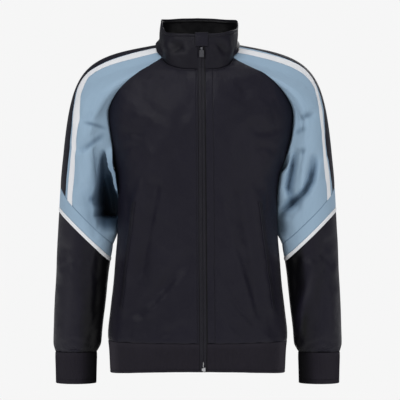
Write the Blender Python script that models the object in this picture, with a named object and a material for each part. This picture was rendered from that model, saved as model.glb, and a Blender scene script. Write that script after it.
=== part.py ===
"""A track jacket as thin cloth walls round the hollows it keeps when it is filled out.

+Z is up, the front faces -Y and +X is the viewer's right. Tables are in millimetres from the shoulder line.
"""

import math

import bpy
import numpy as np

for old in list(bpy.data.objects):
    bpy.data.objects.remove(old, do_unlink=True)

MM = 0.001
WALL = 1.6  # one layer of knit
RIB_WALL = 2.6  # folded rib of hem and cuffs
COLLAR_WALL = 2.6
PULL = 0.2  # every edge at a seam is drawn back by this much
SLANT_PULL = 0.45  # the same where a seam slants round the sleeve
LIFT = 0.5  # clearance under what lies on a panel
TAPE_WALL = 1.0
HEM_SEAM = -622.0
HEM_END = -681.0
NECK_FRONT = -56.0

# colours of the cloths and of the zip
NAVY = (0.017, 0.016, 0.025)
RIB = (0.018, 0.017, 0.024)
LIGHT_BLUE = (0.335, 0.468, 0.591)
WHITE = (0.86, 0.87, 0.9)
METAL = (0.35, 0.35, 0.38)
DARK_TAPE = (0.013, 0.012, 0.018)


# ---------------------------------------------------------------- curves through tables


def smooth(at, keys, values):
    """Values between rising keys, without overshoot."""
    keys = np.asarray(keys, float)
    values = np.asarray(values, float)
    step = np.diff(keys)
    slope = np.diff(values) / step
    both = slope[:-1] * slope[1:]
    total = slope[:-1] + slope[1:]
    inner = np.where(both > 0, 2 * both / np.where(both > 0, total, 1), 0)
    tangent = np.concatenate([slope[:1], inner, slope[-1:]])
    i = np.clip(np.searchsorted(keys, at, "right") - 1, 0, len(keys) - 2)
    t = np.clip((at - keys[i]) / step[i], 0, 1)
    left = values[i] * (1 + 2 * t) * (1 - t) ** 2 + tangent[i] * step[i] * t * (1 - t) ** 2
    right = values[i + 1] * t**2 * (3 - 2 * t) + tangent[i + 1] * step[i] * t**2 * (t - 1)
    return left + right


def column(rows, at, index):
    """One column of a table whose first column rises."""
    table = np.array(rows, float)
    return smooth(at, table[:, 0], table[:, index])


def along(rows):
    """Closely spaced points of the smooth line through a table's rows."""
    table = np.array(rows, float)
    keys = np.arange(len(table))
    fine = np.linspace(0, len(table) - 1, 400)
    return np.stack([smooth(fine, keys, table[:, k]) for k in range(table.shape[1])], 1)


def evenly(points, count):
    """Shares of the way at which a line of points is cut into equal lengths."""
    run = np.concatenate([[0], np.cumsum(np.linalg.norm(np.diff(points, axis=0), axis=1))])
    return np.interp(np.linspace(0, run[-1], count), run, np.arange(len(points)))


def soft_lines(across, up, rows):
    """Height of soft ridges and troughs: each row is a line's two ends, its half width and its height."""
    total = np.zeros(np.broadcast(across, up).shape)
    for x0, z0, x1, z1, width, height in rows:
        dx, dz = x1 - x0, z1 - z0
        t = np.clip(((across - x0) * dx + (up - z0) * dz) / (dx * dx + dz * dz), 0, 1)
        off = np.hypot(across - x0 - t * dx, up - z0 - t * dz)
        total = total + height * np.exp(-((off / width) ** 2))
    return total


# ---------------------------------------------------------------- torso

# height, half width, depth to the front, depth to the back, squareness of the section
TORSO = [
    (-700, 184, 97, 95, 2.35),
    (-681, 185, 99, 97, 2.35),
    (-640, 187, 101, 99, 2.35),
    (-612, 190, 107, 104, 2.35),
    (-560, 185, 107, 104, 2.35),
    (-500, 178, 106, 102, 2.35),
    (-450, 174, 108, 103, 2.35),
    (-400, 170, 112, 106, 2.35),
    (-324, 168.5, 118, 114, 2.35),
    (-277, 172.5, 120, 121, 2.35),
    (-242, 183, 121, 125, 2.35),
    (-184, 196, 120, 129, 2.35),
    (-140, 200, 116, 129, 2.3),
    (-110, 200, 110, 126, 2.2),
    (-82, 198, 101, 120, 2.1),
    (-60, 192, 87, 112, 2.0),
    (-46, 180, 71, 104, 2.0),
    (-26, 150, 42, 88, 2.0),
    (-10, 126, 33, 76, 2.0),
    (5, 100, 26, 62, 2.0),
    (20, 80, 20, 50, 2.0),
]
# front folds: x and height of both ends, half width, height of the ridge (troughs are negative)
FRONT_FOLDS = [
    (-150, -545, -112, -330, 20, 4.0),
    (-130, -560, -88, -300, 16, -5.0),
    (-60, -330, -20, -560, 26, 3.0),
    (-118, -590, -30, -450, 20, -3.5),
    (-165, -190, -120, -175, 20, -3.0),
    (150, -545, 112, -330, 20, 3.5),
    (132, -560, 92, -310, 16, -5.0),
    (52, -340, 100, -560, 24, 3.0),
    (120, -590, 40, -470, 20, -3.5),
    (170, -185, 118, -178, 20, -3.0),
    (-118, -95, -85, -150, 22, -2.5),
    (112, -90, 85, -150, 22, -2.5),
]
BACK_FOLDS = [
    (-140, -300, -40, -430, 26, -4.0),
    (140, -300, 45, -440, 26, -4.0),
    (-120, -560, 10, -500, 28, -4.0),
    (110, -575, -10, -540, 24, -3.5),
    (-150, -200, -100, -330, 26, 3.5),
    (150, -205, 105, -330, 26, 3.5),
]


def torso(theta, z):
    """A point of the torso's outside: theta 0 is the right side, 90 degrees the front, 270 the back."""
    theta = np.asarray(theta, float)
    z = np.asarray(z, float) + 0 * theta
    c, s = np.cos(theta), np.sin(theta)
    half = column(TORSO, z, 1)
    depth = np.where(s >= 0, column(TORSO, z, 2), column(TORSO, z, 3))
    power = 2 / column(TORSO, z, 4)
    x = half * np.sign(c) * np.abs(c) ** power
    y = -depth * np.sign(s) * np.abs(s) ** power
    fade = np.clip(np.abs(s) * 1.6, 0, 1) ** 2 * np.clip((-40 - z) / 60, 0, 1)
    fold = np.where(s >= 0, soft_lines(x, z, FRONT_FOLDS), soft_lines(x, z, BACK_FOLDS)) * fade
    nx, ny = x / half**2, y / depth**2
    size = np.hypot(nx, ny)
    return np.stack([x + fold * nx / size, y + fold * ny / size, z], -1)


def theta_at(x, z):
    """Angle of the front of the torso at which it is x from the middle."""
    half = column(TORSO, z, 1)
    share = np.clip(np.abs(x) / half, 0, 1) ** (column(TORSO, z, 4) / 2)
    return np.where(x >= 0, np.arccos(share), math.pi - np.arccos(share))


def zip_edge(z, side):
    """Where the cloth ends on either side of the zip, which lies a little right of the middle."""
    low = np.clip(-z / 680.0, 0, 1)
    return 8.0 + 4.5 * low + side * (7.0 + 1.2 * low)


# raglan seams: height and share of the torso's half width, from the neck down to the underarm
FRONT_SEAM = [
    (-26, 0.487),
    (-47, 0.57),
    (-63, 0.675),
    (-82, 0.79),
    (-102, 0.882),
    (-122, 0.944),
    (-140, 0.97),
    (-165, 0.981),
    (-195, 0.988),
    (-228, 0.995),
    (-250, 0.999),
    (-262, 1.0),
]
BACK_SEAM = [
    (5, 0.66),
    (-24, 0.67),
    (-56, 0.71),
    (-90, 0.80),
    (-125, 0.885),
    (-160, 0.942),
    (-195, 0.972),
    (-230, 0.992),
    (-250, 0.999),
    (-262, 1.0),
]
# neckline: share of the way from the centre to the raglan seam, height
FRONT_NECK = [(0, -56), (0.3, -54.5), (0.6, -48), (0.82, -38), (1, -26)]
BACK_NECK = [(0, 1), (0.5, 2), (0.85, 3.5), (1, 5)]
SEAM_CUTS = 12
SIDE_CUTS = 10
FRONT_COLUMNS = 8
BACK_COLUMNS = 14


def seam_nodes(rows, cuts, front):
    """Angle and height of evenly spaced nodes of a raglan seam on the right side."""
    line = along(rows)
    z = line[:, 0]
    theta = np.arccos(np.clip(line[:, 1], 0, 1) ** (column(TORSO, z, 4) / 2))
    theta = theta if front else -theta
    at = evenly(torso(theta, z), cuts)
    index = np.arange(len(z))
    return np.stack([np.interp(at, index, theta), np.interp(at, index, z)], 1)


FRONT_NODES = seam_nodes(FRONT_SEAM, SEAM_CUTS, True)
BACK_NODES = seam_nodes(BACK_SEAM, SEAM_CUTS, False)


# ---------------------------------------------------------------- meshes


def material(name, colour, rough, metal=0.0):
    made = bpy.data.materials.new(name)
    made.use_nodes = True
    shader = made.node_tree.nodes["Principled BSDF"]
    shader.inputs["Base Color"].default_value = (*colour, 1)
    shader.inputs["Roughness"].default_value = rough
    shader.inputs["Metallic"].default_value = metal
    return made


def make(name, points, faces, colour, rough=0.7, metal=0.0):
    """One closed mesh from points in millimetres, its faces turned outwards."""
    points = np.asarray(points, float)
    fans = [(f[0], f[k], f[k + 1]) for f in faces for k in range(1, len(f) - 1)]
    corner = points[np.array(fans)]
    volume = np.einsum("ij,ij->i", corner[:, 0], np.cross(corner[:, 1], corner[:, 2])).sum()
    faces = [tuple(f) if volume > 0 else tuple(f[::-1]) for f in faces]
    mesh = bpy.data.meshes.new(name)
    mesh.from_pydata((points * MM).tolist(), [], faces)
    mesh.update()
    thing = bpy.data.objects.new(name, mesh)
    bpy.context.collection.objects.link(thing)
    mesh.materials.append(material(name + "_cloth", colour, rough, metal))
    return thing


def two_triangles(a, b, c, d):
    return [(a, b, c), (a, c, d)]


def shell(name, outer, inner, colour, closed=False, **looks):
    """A wall between two grids of points; a closed one joins its last column to its first."""
    rows, columns = outer.shape[:2]
    count = rows * columns
    points = np.concatenate([outer.reshape(-1, 3), inner.reshape(-1, 3)])
    faces = []
    last = columns if closed else columns - 1
    for i in range(rows - 1):
        for j in range(last):
            k = (j + 1) % columns
            a, b, c, d = i * columns + j, i * columns + k, (i + 1) * columns + k, (i + 1) * columns + j
            faces += two_triangles(a, b, c, d)
            faces += [(f[2] + count, f[1] + count, f[0] + count) for f in two_triangles(a, b, c, d)]
    for i, turn in ((0, False), (rows - 1, True)):
        for j in range(last):
            a, b = i * columns + j, i * columns + (j + 1) % columns
            quad = (a, a + count, b + count, b)
            faces += two_triangles(*(quad[::-1] if turn else quad))
    if not closed:
        for j, turn in ((0, True), (columns - 1, False)):
            for i in range(rows - 1):
                a, b = i * columns + j, (i + 1) * columns + j
                quad = (a, a + count, b + count, b)
                faces += two_triangles(*(quad[::-1] if turn else quad))
    return make(name, points, faces, colour, **looks)


def drawn_back(grid, pulls):
    """The grid with its first row, last row, first and last column moved inwards by these lengths."""
    grid = grid.copy()
    first, last, left, right = pulls
    for at, to, much in (
        ((0, slice(None)), (1, slice(None)), first),
        ((-1, slice(None)), (-2, slice(None)), last),
        ((slice(None), 0), (slice(None), 1), left),
        ((slice(None), -1), (slice(None), -2), right),
    ):
        if much:
            way = grid[to] - grid[at]
            grid[at] += much * way / np.linalg.norm(way, axis=-1, keepdims=True)
    return grid


def panel(name, grid, normals, wall, colour, pulls=(PULL,) * 4, lift=0.0, closed=False, **looks):
    """A wall whose outside is the grid, moved out by lift, and whose inside is wall deeper."""
    outer = drawn_back(grid + normals * lift, pulls)
    inner = drawn_back(grid + normals * (lift - wall), pulls)
    return shell(name, outer, inner, colour, closed, **looks)


def normals_of(surface, u, v, du, dv):
    """Outward normals of a surface at its two parameters."""
    across = surface(u + du, v) - surface(u - du, v)
    down = surface(u, v + dv) - surface(u, v - dv)
    made = np.cross(across, down)
    return made / np.linalg.norm(made, axis=-1, keepdims=True)


def mirrored(grid):
    return grid * np.array([-1.0, 1.0, 1.0])


def torso_panel(theta, z):
    points = torso(theta, z)
    return points, -normals_of(torso, theta, z, 0.004, 1.0)


# ---------------------------------------------------------------- front and back

side_levels = np.linspace(-262, HEM_SEAM, SIDE_CUTS + 1)[1:]
seam_levels = np.linspace(NECK_FRONT, -262, SEAM_CUTS)
level_edge = np.concatenate([seam_levels, side_levels])


def front_grid(side):
    """Rows of a front panel from the zip to the raglan seam and the side seam."""
    share = np.linspace(0, 1, FRONT_COLUMNS + 1)
    seam_theta = np.concatenate([FRONT_NODES[:, 0], np.zeros(SIDE_CUTS)])
    seam_z = np.concatenate([FRONT_NODES[:, 1], side_levels])
    edge_theta = theta_at(zip_edge(level_edge, side), level_edge)
    far_theta = seam_theta if side > 0 else math.pi - seam_theta
    theta = edge_theta[:, None] + share * (far_theta - edge_theta)[:, None]
    z = level_edge[:, None] + share * (seam_z - level_edge)[:, None]
    z[0] = column(FRONT_NECK, share, 1)
    return theta, z


grids = {}
for side, word in ((-1, "left"), (1, "right")):
    theta, z = front_grid(side)
    points, normals = torso_panel(theta, z)
    grids["front_" + word] = points, normals
    panel("front_" + word, points, normals, WALL, NAVY)

share = np.linspace(-1, 1, BACK_COLUMNS + 1)
seam_theta = np.concatenate([BACK_NODES[:, 0], np.zeros(SIDE_CUTS)])
seam_z = np.concatenate([BACK_NODES[:, 1], side_levels])
centre_z = np.concatenate([np.linspace(1, -262, SEAM_CUTS), side_levels])
back_theta = -math.pi / 2 + share * (seam_theta + math.pi / 2)[:, None]
back_z = centre_z[:, None] + np.abs(share) * (seam_z - centre_z)[:, None]
back_z[0] = column(BACK_NECK, np.abs(share), 1)
points, normals = torso_panel(back_theta, back_z)
grids["back"] = points, normals
panel("back", points, normals, WALL, NAVY)


# ---------------------------------------------------------------- sleeves

# station, height, middle x, middle y, half width, half depth, rise of the outer side
ARM = [
    (0, -252, 230.5, 2, 53.5, 69, 27),
    (1, -302, 231.4, 3, 58.6, 68, 14),
    (2, -360, 233.6, 4, 60.4, 66, 4),
    (3, -420, 238.3, 4, 59.2, 63, 0),
    (4, -480, 244.0, 1, 55.5, 59, 0),
    (5, -540, 248.5, -4, 54.0, 55, 0),
    (6, -596, 252.5, -9, 51.5, 50, 0),
    (7, -626, 254.0, -12, 50.5, 43, 0),
    (8, -645, 256.0, -13, 43.5, 32, 0),
]
# height, half width and half depth of the cuff
CUFF = [(-645, 43.5, 32.0), (-650, 43.8, 31.5), (-680, 43.0, 31.0), (-712, 42.3, 30.0)]
CUFF_MIDDLE = np.array([256.3, -13.0, 0.0])
# how cloth leaves the raglan seam: share of a turn from the top, direction, length of both handles
LEAVE = [
    (0.0, 0.99, 0.0, -0.145, 0.54, 0.59),
    (0.075, 0.97, 0.05, -0.28, 0.54, 0.58),
    (0.2, 0.9, 0.05, -0.45, 0.45, 0.48),
    (0.3, 0.66, 0.4, -0.62, 0.42, 0.42),
    (0.4, 0.5, 0.58, -0.64, 0.40, 0.40),
    (0.47, 0.42, 0.3, -0.85, 0.36, 0.36),
    (0.5, 0.4, 0.0, -0.9, 0.35, 0.35),
]
NECK_TURN = 0.075
BLACK_TURN = 0.035
# place along the sleeve, then the black edge and both edges of the tape as shares of a turn
STRIPE = {
    ("left", 1): [
        (0, 0.0165, 0.0200, 0.0430),
        (0.13, 0.0196, 0.0235, 0.0436),
        (0.24, 0.0222, 0.0262, 0.0420),
        (0.37, 0.0236, 0.0276, 0.0400),
        (0.48, 0.0208, 0.0250, 0.0400),
        (0.54, 0.0216, 0.0262, 0.0530),
        (0.60, 0.0250, 0.0320, 0.0850),
        (0.65, 0.0330, 0.0480, 0.1280),
        (0.70, 0.0520, 0.0700, 0.1520),
        (0.76, 0.0795, 0.0980, 0.1640),
        (0.86, 0.1120, 0.1285, 0.1690),
        (0.97, 0.1170, 0.1365, 0.1710),
        (1.5, 0.1155, 0.1363, 0.1730),
        (2.2, 0.1140, 0.1350, 0.1702),
        (9, 0.1120, 0.1330, 0.1680),
    ],
    ("right", 1): [
        (0, 0.0100, 0.0205, 0.0500),
        (0.08, 0.0110, 0.0210, 0.0450),
        (0.14, 0.0125, 0.0212, 0.0420),
        (0.22, 0.0148, 0.0212, 0.0402),
        (0.32, 0.0150, 0.0196, 0.0405),
        (0.43, 0.0140, 0.0182, 0.0400),
        (0.52, 0.0180, 0.0225, 0.0420),
        (0.60, 0.0255, 0.0370, 0.0600),
        (0.66, 0.0340, 0.0560, 0.0860),
        (0.72, 0.0460, 0.0740, 0.1150),
        (0.78, 0.0640, 0.0960, 0.1330),
        (0.83, 0.0880, 0.1110, 0.1400),
        (0.91, 0.1070, 0.1180, 0.1430),
        (0.98, 0.1085, 0.1210, 0.1430),
        (1.2, 0.1000, 0.1148, 0.1436),
        (1.77, 0.0890, 0.1055, 0.1410),
        (2.2, 0.0800, 0.1070, 0.1385),
        (9, 0.0780, 0.1050, 0.1370),
    ],
    "back": [
        (0, 0.035, 0.0414, 0.0550),
        (0.5, 0.058, 0.0670, 0.0860),
        (0.8, 0.083, 0.0935, 0.1160),
        (1, 0.100, 0.1113, 0.1353),
        (2.2, 0.106, 0.1173, 0.1413),
        (9, 0.100, 0.1113, 0.1353),
    ],
}
SHOULDER_CUTS = 9
ARM_CUTS = 4
LOW_CUTS = 8
ROUND = 24
BAND_DROP = 0.97  # fall of the band's slant per length across
BAND_AT = 625.0
BAND_TALL = 31.0
PIPING_TALL = 10.0
# folds of the sleeves: x and height of both ends, half width, height, first front then back
SLEEVE_FOLDS = {
    "left": (
        [
            (202, -225, 190, -350, 14, -9.0),
            (245, -218, 200, -187, 10, -4.0),
            (238, -160, 200, -173, 11, -3.0),
            (236, -470, 214, -600, 16, 3.0),
            (276, -430, 262, -590, 14, -3.0),
        ],
        [
            (205, -240, 195, -340, 16, -6.0),
            (262, -300, 215, -350, 16, -4.0),
            (270, -480, 225, -520, 16, -4.0),
        ],
    ),
    "right": (
        [
            (209, -232, 196, -330, 13, -8.0),
            (243, -242, 205, -340, 12, -5.0),
            (241, -150, 209, -165, 11, -3.0),
            (236, -464, 211, -602, 16, 3.5),
            (272, -420, 258, -580, 14, -3.0),
        ],
        [
            (205, -235, 195, -345, 16, -6.0),
            (260, -310, 212, -340, 16, -4.0),
            (268, -500, 225, -470, 16, -4.0),
        ],
    ),
}

front_seam = torso(FRONT_NODES[:, 0], FRONT_NODES[:, 1])
back_seam = torso(BACK_NODES[:, 0], BACK_NODES[:, 1])
seam_turns = np.linspace(NECK_TURN, 0.5, SEAM_CUTS)
neck_side = np.array([(75.5, 27, 7), (80.5, 4, 3), (79.0, -18, -10)])
loop_turns = np.concatenate([-seam_turns[::-1], [-BLACK_TURN, 0, BLACK_TURN], seam_turns])
loop_points = np.concatenate([back_seam[::-1], neck_side, front_seam])


def arm(turn, station):
    """A point of the plain arm below the shoulder."""
    angle = 2 * math.pi * turn
    z, x, y, half, depth, rise = (column(ARM, station, k) for k in range(1, 7))
    return np.stack(
        [x + half * np.cos(angle), y - depth * np.sin(angle), z + rise * np.cos(angle)], -1
    )


def sleeve_base(turn, w):
    """The right sleeve without folds: w runs 0 to 1 over the shoulder and on down the arm's stations."""
    turn = (np.asarray(turn, float) + 0.5) % 1.0 - 0.5
    w = np.asarray(w, float) + 0 * turn
    turn = turn + 0 * w
    start = np.stack([np.interp(turn, loop_turns, loop_points[:, k]) for k in range(3)], -1)
    end = arm(turn, 0 * w)
    below = arm(turn, 0 * w + 0.05) - end
    below /= np.linalg.norm(below, axis=-1, keepdims=True)
    dx, dy, dz, out, back = (column(LEAVE, np.abs(turn), k) for k in range(1, 6))
    leave = np.stack([dx, -np.sign(turn) * dy, dz], -1)
    chord = np.linalg.norm(end - start, axis=-1)[..., None]
    one = start + leave * chord * out[..., None]
    two = end - below * chord * back[..., None]
    t = np.minimum(w, 1)[..., None]
    over = start * (1 - t) ** 3 + 3 * one * t * (1 - t) ** 2 + 3 * two * t**2 * (1 - t) + end * t**3
    return np.where((w <= 1)[..., None], over, arm(turn, np.maximum(w - 1, 0)))


def sleeve(word, turn, w):
    """Points and outward normals of one sleeve."""
    points = sleeve_base(turn, w)
    normals = normals_of(sleeve_base, turn, w, 0.006, 0.02)
    front, back = SLEEVE_FOLDS[word]
    facing = np.abs(np.sin(2 * math.pi * (turn + 0 * w)))
    fade = np.clip(facing * 1.7, 0, 1) * np.clip(w * 2, 0, 1)
    x, z = points[..., 0], points[..., 2]
    height = np.where(turn + 0 * w > 0, soft_lines(x, z, front), soft_lines(x, z, back)) * fade
    points = points + normals * height[..., None]
    if word == "left":
        return mirrored(points), mirrored(normals)
    return points, normals


def cut_at(turn_of, count, level):
    """How far down the arm each column crosses the slanting plane of the band."""
    low = np.ones(count)
    high = np.full(count, 7.0)
    for _ in range(24):
        middle = (low + high) / 2
        at = sleeve_base(turn_of(middle), middle)
        above = at[..., 2] - BAND_DROP * at[..., 0] + BAND_AT > level
        low = np.where(above, middle, low)
        high = np.where(above, high, middle)
    return low


def stripe_edges(word, sign, w):
    """Turns of the black edge and of both edges of the tape, in front (1) or behind (-1)."""
    rows = STRIPE[(word, sign)] if sign > 0 else STRIPE["back"]
    return tuple(column(rows, w, k) for k in (1, 2, 3))


def side_turn(word, sign, column_index, w):
    """Turn of a column of the light blue panel."""
    w = np.asarray(w, float)
    edges = stripe_edges(word, sign, w)
    if column_index < 3:
        return edges[column_index]
    start = stripe_edges(word, sign, 0.0)[2]
    return 0.5 - (0.5 - seam_turns[column_index - 3]) * (0.5 - edges[2]) / (0.5 - start)


def sleeve_rows(turn_of):
    """Turns and stations of one column from the raglan seam to the band."""
    end = cut_at(turn_of, 1, BAND_TALL)[0]
    w = np.concatenate(
        [np.linspace(0, 1, SHOULDER_CUTS + 1), 1 + (end - 1) * np.arange(1, ARM_CUTS + 1) / ARM_CUTS]
    )
    return turn_of(w), w


ring = np.arange(ROUND) / ROUND - 0.5 + 0.5 / ROUND


def ring_turn(w):
    return ring


for word in ("left", "right"):
    for face, sign in (("front", 1), ("back", -1)):
        made = [sleeve_rows(lambda w, k=k: side_turn(word, sign, k, w)) for k in range(3 + SEAM_CUTS)]
        turn = sign * np.stack([m[0] for m in made], 1)
        w = np.stack([m[1] for m in made], 1)
        points, normals = sleeve(word, turn, w)
        grids[f"sleeve_{face}_{word}"] = points, normals
        name = f"sleeve_{face}_{word}"
        panel(name, points, normals, WALL, LIGHT_BLUE, pulls=(0.5, SLANT_PULL, PULL, PULL))
        panel(
            f"tape_{face}_{word}",
            points[:, 1:3],
            normals[:, 1:3],
            TAPE_WALL,
            WHITE,
            pulls=(2.0, 1.0, 0, 0),
            lift=LIFT + TAPE_WALL,
        )
    made = []
    for share in (-1, -0.5, 0, 0.5, 1):
        sign = 1 if share > 0 else -1
        made.append(sleeve_rows(lambda w, share=share: share * stripe_edges(word, sign, w)[0]))
    turn = np.stack([m[0] for m in made], 1)
    w = np.stack([m[1] for m in made], 1)
    points, normals = sleeve(word, turn, w)
    grids["stripe_panel_" + word] = points, normals
    panel("stripe_panel_" + word, points, normals, WALL, NAVY, pulls=(0.5, SLANT_PULL, PULL, PULL))

    around = np.broadcast_to(ring, (2, ROUND))
    w = np.stack([cut_at(ring_turn, ROUND, level) for level in (BAND_TALL, 0.0)])
    points, normals = sleeve(word, around, w)
    ends = (SLANT_PULL, SLANT_PULL, 0, 0)
    panel("sleeve_band_" + word, points, normals, WALL, LIGHT_BLUE, pulls=ends, closed=True)

    around = np.broadcast_to(ring, (3, ROUND))
    w = np.stack([cut_at(ring_turn, ROUND, level) for level in (0.0, -PIPING_TALL / 2, -PIPING_TALL)])
    points, normals = sleeve(word, around, w)
    points = points + normals * np.array([0, 0.9, 0])[:, None, None]
    panel("piping_" + word, points, normals, WALL, WHITE, pulls=ends, closed=True)

    share = (np.arange(LOW_CUTS + 1) / LOW_CUTS)[:, None]
    top = cut_at(ring_turn, ROUND, -PIPING_TALL)
    w = top + (9 - top) * share
    points, normals = sleeve(word, np.broadcast_to(ring, w.shape), w)
    grids["lower_sleeve_" + word] = points, normals
    panel("lower_sleeve_" + word, points, normals, WALL, NAVY, pulls=(SLANT_PULL, PULL, 0, 0), closed=True)

    rows = []
    angle = 2 * math.pi * ring
    for z, half, depth in CUFF:
        row = CUFF_MIDDLE + np.stack([half * np.cos(angle), -depth * np.sin(angle), z + 0 * angle], -1)
        rows.append(row)
    points = np.stack(rows)
    flat = points - CUFF_MIDDLE
    flat[..., 2] = 0
    normals = flat * np.array([1 / 43.0**2, 1 / 31.0**2, 0])
    normals /= np.linalg.norm(normals, axis=-1, keepdims=True)
    if word == "left":
        points, normals = mirrored(points), mirrored(normals)
    panel("cuff_" + word, points, normals, RIB_WALL, RIB, pulls=(PULL, 0, 0, 0), closed=True)


# ---------------------------------------------------------------- hem

HEM_COLUMNS = 40
from_right = theta_at(zip_edge(HEM_SEAM, 1), HEM_SEAM)
to_left = theta_at(zip_edge(HEM_SEAM, -1), HEM_SEAM) - 2 * math.pi
hem_theta = np.linspace(from_right, to_left, HEM_COLUMNS + 1)
drop = HEM_END - 9 * np.cos(hem_theta) ** 2
share = np.array([0, 0.5, 1])[:, None]
hem_z = HEM_SEAM + share * (drop - HEM_SEAM)
hem_points, hem_normals = torso_panel(np.broadcast_to(hem_theta, hem_z.shape), hem_z)
panel("hem_band", hem_points, hem_normals, RIB_WALL, RIB, pulls=(PULL, 0, PULL, PULL))


# ---------------------------------------------------------------- collar

# degrees round from the centre front, height of the top edge
COLLAR_TOP = [(0, 17), (35, 20), (51, 26), (68, 34), (85, 44), (102, 54), (118, 61), (135, 63.5), (180, 64)]
COLLAR_CUTS = 4
COLLAR_LEAN = 3.0
COLLAR_FOLDS = [(-58, 8, -34, -22, 10, -2.0), (36, 12, 62, -24, 10, -2.2), (66, 20, 40, 2, 9, 1.5)]


def collar_top(x, y):
    """The point of the top edge over a point of the neckline."""
    angle = np.arctan2(x, -(y + 5))
    across, forward = np.sin(angle), np.cos(angle)
    deep = np.where(forward > 0, 75, 64)
    reach = ((np.abs(across) / 82) ** 2.35 + (np.abs(forward) / deep) ** 2.35) ** (-1 / 2.35)
    height = column(COLLAR_TOP, np.degrees(np.abs(angle)), 1)
    return np.stack([reach * across + COLLAR_LEAN * across**2, -5 - reach * forward, height], -1)


right_front = grids["front_right"][0][0]
left_front = grids["front_left"][0][0]
neck = np.concatenate(
    [
        right_front,
        neck_side[::-1],
        grids["back"][0][0][::-1],
        mirrored(neck_side),
        left_front[::-1],
    ]
)
top = collar_top(neck[:, 0], neck[:, 1])
away = (top + neck) / 2 - np.array([COLLAR_LEAN, -5, 0])
away[:, 2] = 0
away /= np.linalg.norm(away, axis=1, keepdims=True)
rows = []
for k in range(COLLAR_CUTS + 1):
    h = k / COLLAR_CUTS
    row = neck + h * (top - neck) + away * 2.5 * math.sin(math.pi * h)
    fold = soft_lines(row[:, 0], row[:, 2], COLLAR_FOLDS) * (row[:, 1] < -20) * math.sin(math.pi * h)
    rows.append(row + away * fold[:, None])
collar_points = np.stack(rows)
collar_normals = np.cross(np.gradient(collar_points, axis=0), np.gradient(collar_points, axis=1))
collar_normals /= np.linalg.norm(collar_normals, axis=-1, keepdims=True)
if (collar_normals * away).sum() < 0:
    collar_normals = -collar_normals
panel("collar", collar_points, collar_normals, COLLAR_WALL, NAVY, pulls=(0.4, 0, PULL, PULL))


# ---------------------------------------------------------------- zip

left_edge = np.concatenate([hem_points[:0:-1, -1], grids["front_left"][0][::-1, 0], collar_points[1:, -1]])
right_edge = np.concatenate([hem_points[:0:-1, 0], grids["front_right"][0][::-1, 0], collar_points[1:, 0]])
left_edge[-1, 2] -= 3
right_edge[-1, 2] -= 3
SET_BACK = 0.5
BACKWARDS = np.array([0.0, 1.0, 0.0])
ZIP_WALL = 1.1
PIN_Z = -14.0
STOP_TOP = -671.0


def zip_strip(shares, back, rows=slice(None)):
    """Rows of points between the two zip edges, at shares of the way across."""
    a = left_edge[rows][:, None]
    b = right_edge[rows][:, None]
    return a + (b - a) * np.array(shares)[:, None] + BACKWARDS * back


def zip_piece(name, shares, back, wall, colour, rows=slice(None), **looks):
    outer = zip_strip(shares, back, rows)
    return shell(name, outer, outer + BACKWARDS * wall, colour, **looks)


zip_piece("zip_tape_left", (0.006, 0.49), SET_BACK, ZIP_WALL, DARK_TAPE)
zip_piece("zip_tape_right", (0.51, 0.994), SET_BACK, ZIP_WALL, DARK_TAPE)


def zip_row(z):
    """Both zip edges at one height."""
    return np.stack(
        [
            [np.interp(z, edge[:, 2], edge[:, k]) for k in range(3)]
            for edge in (left_edge, right_edge)
        ]
    )


def box(x0, x1, y0, y1, z0, z1, taper=0.0):
    """Corners of a block whose front is smaller by the taper all round."""
    made = []
    for y, less in ((y0, taper), (y1, 0.0)):
        left, right, low, high = x0 + less, x1 - less, z0 + less, z1 - less
        made += [(left, y, low), (right, y, low), (right, y, high), (left, y, high)]
    return np.array(made)


BOX_FACES = [(0, 1, 2, 3), (7, 6, 5, 4), (0, 4, 5, 1), (1, 5, 6, 2), (2, 6, 7, 3), (3, 7, 4, 0)]


def block(name, *sizes):
    return make(name, box(*sizes), BOX_FACES, METAL, rough=0.35, metal=1.0)


def rod(x0, x1, y, z, radius, sides=12):
    """Points and faces of a rod along X."""
    points, faces = [], []
    for x in (x0, x1):
        for k in range(sides):
            angle = 2 * math.pi * k / sides
            points.append((x, y + radius * math.cos(angle), z + radius * math.sin(angle)))
    for k in range(sides):
        n = (k + 1) % sides
        faces.append((k, n, n + sides, k + sides))
    faces.append(tuple(range(sides - 1, -1, -1)))
    faces.append(tuple(range(sides, 2 * sides)))
    return np.array(points), faces


def combine(base, other, operation):
    """Cut or join two meshes; the second is used up."""
    step = base.modifiers.new("combine", "BOOLEAN")
    step.operation = operation
    step.solver = "EXACT"
    step.object = other
    bpy.context.view_layer.update()
    evaluated = base.evaluated_get(bpy.context.evaluated_depsgraph_get())
    mesh = bpy.data.meshes.new_from_object(evaluated)
    base.modifiers.remove(step)
    base.data = mesh
    bpy.data.objects.remove(other, do_unlink=True)


stop_row = zip_row(STOP_TOP)
chain_rows = (left_edge[:, 2] > STOP_TOP) & (left_edge[:, 2] < -30)
low_end = zip_row(STOP_TOP + 0.4)
high_end = zip_row(-26.5)
keep_left = np.concatenate([low_end[:1], left_edge[chain_rows], high_end[:1]])
keep_right = np.concatenate([low_end[1:], right_edge[chain_rows], high_end[1:]])
span = keep_right - keep_left
CHAIN_DEEP = 1.3
outer = keep_left[:, None] + span[:, None] * np.array([0.34, 0.42, 0.58, 0.66])[:, None]
outer = outer + BACKWARDS * (SET_BACK - 0.3)
inner = outer.copy()
outer = outer - BACKWARDS * CHAIN_DEEP * np.array([0.6, 1.0, 1.0, 0.6])[:, None]
shell("zip_chain", outer, inner, DARK_TAPE, rough=0.5)

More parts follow.
